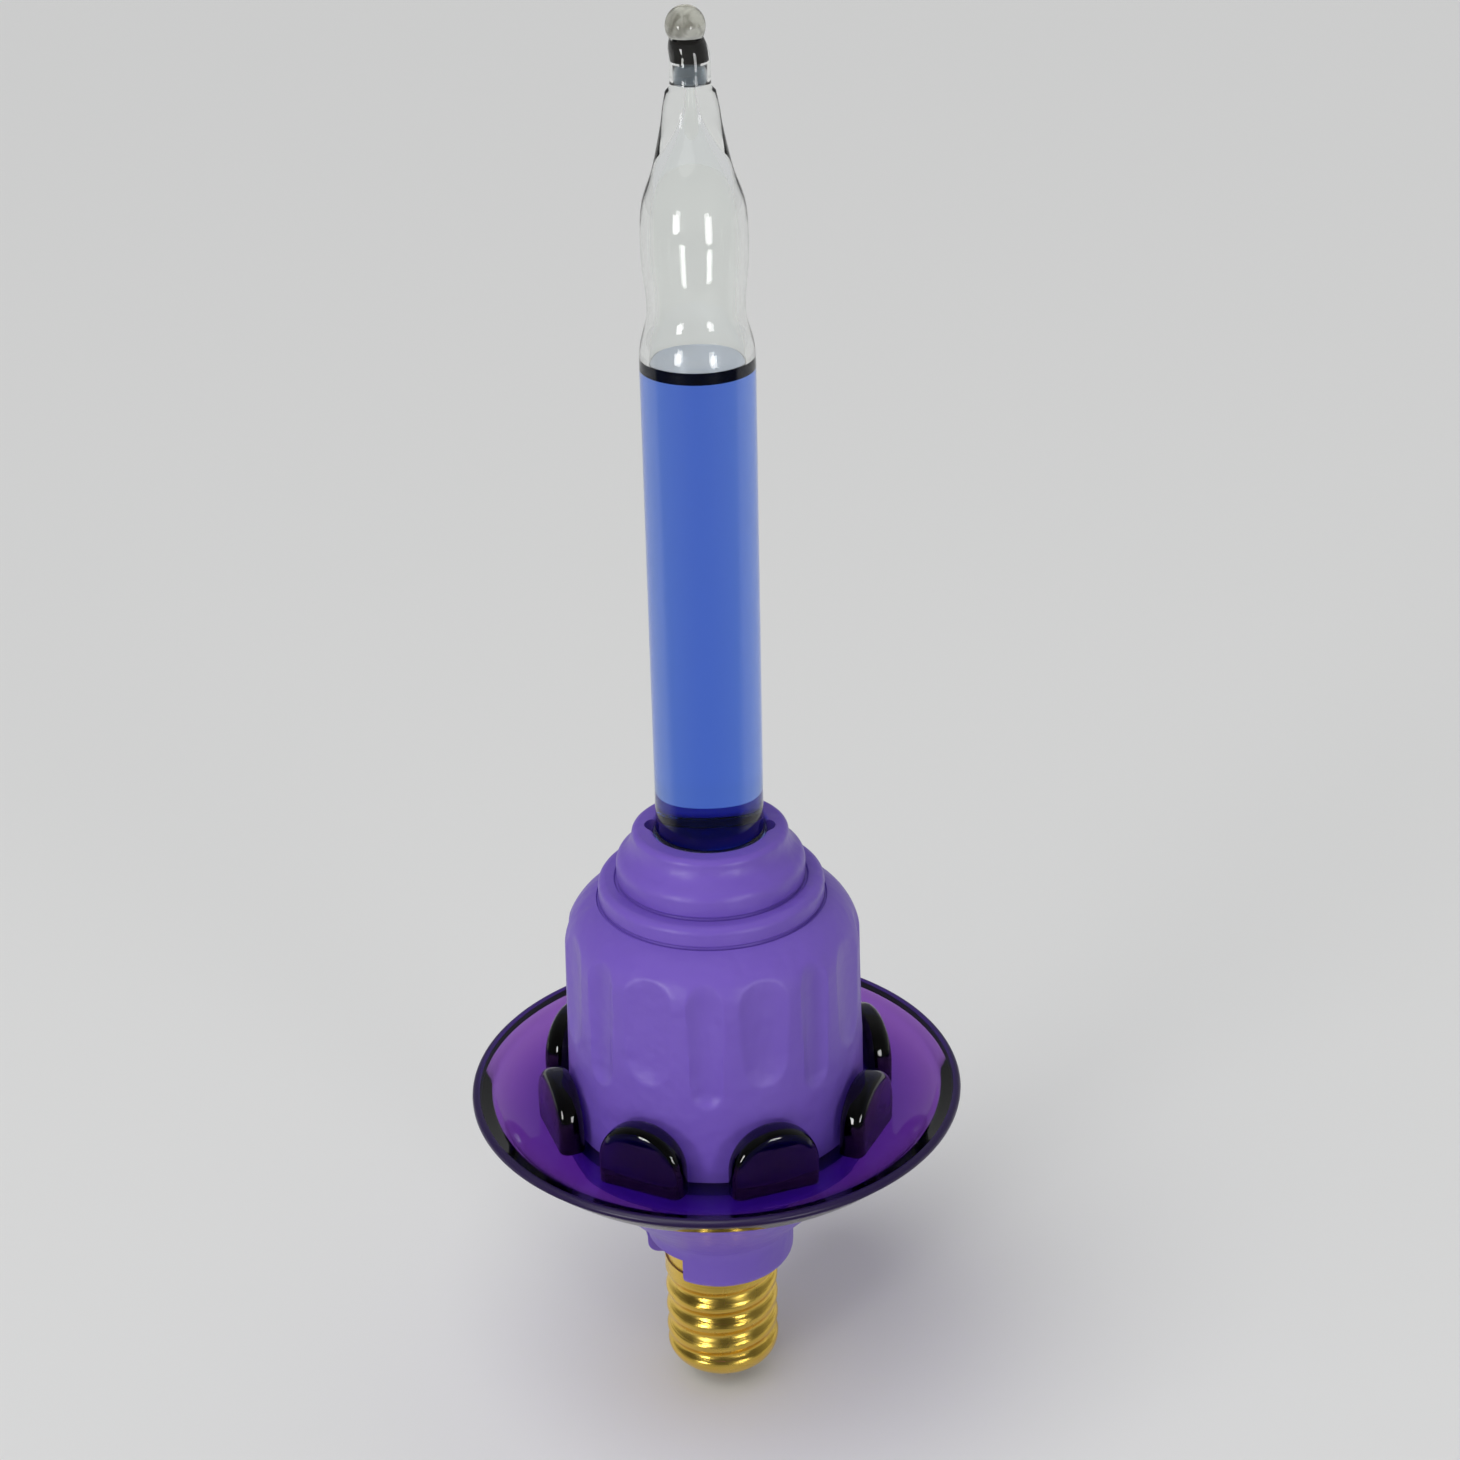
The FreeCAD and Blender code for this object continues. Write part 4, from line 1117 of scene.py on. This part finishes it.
# %% Thread
thread_weights = {}
for vertex in screw_shell.data.vertices:
    x, y, z = vertex.co / MM
    if vertex.normal.xy.dot(vertex.co.xy) <= 0 or math.hypot(x, y) < SHELL_RADIUS - 0.6:
        continue
    turns = (z - THREAD_FOOT) / THREAD_PITCH - math.atan2(y, x) / (2 * math.pi)
    wave = 0.5 - 0.5 * math.cos(2 * math.pi * turns)
    ends = fade(z, THREAD_FOOT - 0.7, THREAD_FOOT + 0.7) * fade(THREAD_TOP + 0.2 - z, 0.0, 0.9)
    thread_weights[vertex.index] = wave ** THREAD_POWER * ends
press(screw_shell, "thread", thread_weights, -THREAD_DEPTH)
finish_piece(screw_shell, "screw_shell", BRASS, smooth=60)

# %% [markdown]
# ## Glue ring
# The vial is held by a ring of clear glue. It was laid by hand, so its top is a little wavy: a noise
# texture on a Displace modifier lifts and lowers it.

# %% Glue ring
GLUE_WAVES = 0.12
GLUE_WAVE_SIZE = 1.6

glue = [(VIAL_RADIUS - 0.02, GLUE_FOOT)]
glue += rows_between((HOLE_RADIUS + 0.01, GLUE_FOOT), (HOLE_RADIUS + 0.01, DOME_TOP - 0.5), 0.2)
glue += reversed(plumb_arc((HOLE_RADIUS - 0.12, DOME_TOP - 0.48), (VIAL_RADIUS - 0.02, GLUE_TOP), 6))
glue_ring = turn("glue_ring", glue)
clouds = bpy.data.textures.new("glue_waves", "CLOUDS")
clouds.noise_scale = GLUE_WAVE_SIZE * MM
apply_modifier(
    glue_ring,
    "DISPLACE",
    texture=clouds,
    texture_coords="LOCAL",
    direction="Z",
    strength=GLUE_WAVES * MM,
    mid_level=0.6,
)
finish_piece(glue_ring, "vial_glue", CLEAR_GLUE, smooth=60)

# %% [markdown]
# ## Pieces kept from the model
# The contact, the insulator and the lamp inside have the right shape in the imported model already, so
# they only get finishes.

# %% Finishes of the kept nodes
KEPT = {
    "base_insulator": INSULATOR,
    "contact_eyelet": BRASS_CONTACT,
    "contact_solder": SOLDER,
    "side_solder": SOLDER,
    "lamp_cement": CEMENT,
    "lamp_envelope": LAMP_GLASS,
    "lamp_stem": LAMP_GLASS,
    "lead_to_shell": LEAD_WIRE,
    "lead_to_contact": LEAD_WIRE,
    "lamp_filament": FILAMENT,
    "filament_support": LEAD_WIRE,
}
for node, material in KEPT.items():
    for material_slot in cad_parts[node].material_slots:
        material_slot.material = material
print(len(KEPT), "kept nodes")

# %% [markdown]
# ## Floor, light and camera
# The light stands on a plain pale floor in a plain pale room. Glossy and clear things show what is round
# them more than they show lamps, so what they mirror is set apart from what lights them: Light Path says
# which kind of ray asks. In a mirror the floor in front is nearly black, as if a dark room lay behind
# the camera, and that keeps the tabs and the fluid deep in colour.

# %% Floor
FLOOR_SIZE = 3.0
FLOOR_HEIGHT = -0.00005
FLOOR_COLOUR = (0.80, 0.80, 0.79)
MIRRORED_FLOOR = (0.06, 0.06, 0.07)
MIRRORED_FRONT = -0.05


def ray_kinds(nodes, links):
    """Two masks: the ray was mirrored and nothing else, and the ray went through something clear."""
    ray = nodes.new("ShaderNodeLightPath")
    passing = ray.outputs["Is Transmission Ray"]
    return compute(nodes, links, "SUBTRACT", ray.outputs["Is Glossy Ray"], passing, clamp=True), passing


deselect()
bpy.ops.mesh.primitive_plane_add(size=FLOOR_SIZE, location=(0, 0, FLOOR_HEIGHT))
floor = bpy.context.object
floor.name = "floor"
FLOOR_PAINT, floor_nodes, floor_links = new_material("floor_paint")
set_shader(FLOOR_PAINT, "Roughness", 0.85)
floor_mirrored = ray_kinds(floor_nodes, floor_links)[0]
floor_y = split(floor_nodes, floor_links, object_place(floor_nodes))["Y"]
in_front = ramp(floor_nodes, floor_links, floor_y, 0.0, MIRRORED_FRONT)
dark = compute(floor_nodes, floor_links, "MULTIPLY", floor_mirrored, in_front)
paint(floor_nodes, floor_links, dark, FLOOR_COLOUR, MIRRORED_FLOOR)
floor.data.materials.append(FLOOR_PAINT)
print("floor", FLOOR_SIZE, "m wide")

# %% [markdown]
# The room is the world's background, a level of light that changes with the direction: a little less
# from above, less from the front than from the back, and less from the left than from the right. A
# mirrored ray sees half of that or less, least of all in front. A ray that went through glass or
# plastic sees one plain level, which matches the lit floor, so no edge of the floor shows in the vial.

# %% Room
ROOM_COLOUR = (0.97, 0.98, 1.0)
SEEN_THROUGH = 0.63

world = bpy.data.worlds.new("pale_room")
bpy.context.scene.world = world
world.use_nodes = True
room, room_links = world.node_tree.nodes, world.node_tree.links
towards = split(room, room_links, room.new("ShaderNodeTexCoord").outputs["Generated"])
overhead = ramp(room, room_links, towards["Z"], 0.05, 0.75, 1.0, 0.8)
behind = ramp(room, room_links, towards["Y"], -0.6, 0.6, 0.25, 0.65)
sideways = ramp(room, room_links, towards["X"], -1.0, 1.0, 0.70, 1.12)
plain_level = compute(room, room_links, "MULTIPLY", overhead, behind)
plain_level = compute(room, room_links, "MULTIPLY", plain_level, sideways)
mirrored, passing = ray_kinds(room, room_links)
dimmed = ramp(room, room_links, towards["Y"], -0.5, 0.1, 0.35, 0.5)
mirror_share = blend(room, room_links, mirrored, 1.0, dimmed)
mirror_level = compute(room, room_links, "MULTIPLY", plain_level, mirror_share)
feed(room_links, ROOM_COLOUR, room["Background"].inputs["Color"])
seen_level = blend(room, room_links, passing, mirror_level, SEEN_THROUGH)
feed(room_links, seen_level, room["Background"].inputs["Strength"])
print("room", len(room), "nodes")

# %% [markdown]
# Two soft rectangular lamps stand left and right of the camera like windows, because they make the long
# glints on the glass. A broad sun from the front left gives the soft shadow; nothing mirrors it.

# %% Lamps
WINDOW_AWAY = 0.5
WINDOW_TURN = math.radians(36)
WINDOW_AIM = Vector((0, 0, 0.125))
WINDOW_WIDTH = 0.105
WINDOW_HEIGHT = 0.13
SUN_SPREAD = math.radians(55)
SUN_POWER = 1.6
SUN_DIRECTION = Vector((0.24, 0.40, -0.86))


def add_lamp(name, kind, power, direction):
    """A lamp of some kind that shines in a direction."""
    lamp = bpy.data.lights.new(name, kind)
    lamp.energy = power
    holder = bpy.data.objects.new(name, lamp)
    bpy.context.collection.objects.link(holder)
    holder.rotation_euler = direction.to_track_quat("-Z", "Y").to_euler()
    return holder, lamp


for name, side, height, power in (("left_window", -1, 0.118, 0.6), ("right_window", 1, 0.098, 0.4)):
    place = Vector((
        side * WINDOW_AWAY * math.sin(WINDOW_TURN),
        -WINDOW_AWAY * math.cos(WINDOW_TURN),
        height,
    ))
    window, lamp = add_lamp(name, "AREA", power, WINDOW_AIM - place)
    window.location = place
    lamp.shape = "RECTANGLE"
    lamp.size = WINDOW_WIDTH
    lamp.size_y = WINDOW_HEIGHT

sun, daylight = add_lamp("daylight", "SUN", SUN_POWER, SUN_DIRECTION)
daylight.angle = SUN_SPREAD
sun.visible_glossy = False

# %% [markdown]
# The camera stands where the photograph was taken from. Its place, its tilt and its lens were fitted to
# the outlines of the round parts, so they are written down as found: lengths in metres, angles in
# radians, and the focal length in pixels of the photograph.

# %% Camera
CAMERA_AWAY = 0.220278
CAMERA_HEIGHT = 0.180235
CAMERA_PITCH = 0.44403
CAMERA_HEADING = -0.00977
CAMERA_ROLL = -0.02221
FRONT_TURN = math.radians(3.75)
NEAREST_SEEN = 0.01
FOCAL_PIXELS = 2573.85
PHOTO_PIXELS = 1460
SENSOR_WIDTH = 36.0

camera_data = bpy.data.cameras.new("camera")
camera_data.sensor_width = SENSOR_WIDTH
camera_data.lens = FOCAL_PIXELS / PHOTO_PIXELS * SENSOR_WIDTH
camera_data.clip_start = NEAREST_SEEN
camera = bpy.data.objects.new("camera", camera_data)
bpy.context.collection.objects.link(camera)
camera.matrix_world = (
    Matrix.Rotation(FRONT_TURN, 4, "Z")
    @ Matrix.Translation((0, -CAMERA_AWAY, CAMERA_HEIGHT))
    @ Matrix.Rotation(CAMERA_HEADING, 4, "Z")
    @ Matrix.Rotation(math.pi / 2 - CAMERA_PITCH, 4, "X")
    @ Matrix.Rotation(CAMERA_ROLL, 4, "Z")
)
bpy.context.scene.camera = camera
bpy.context.scene.view_settings.view_transform = "Standard"
print("camera lens", round(camera_data.lens, 2), "mm")
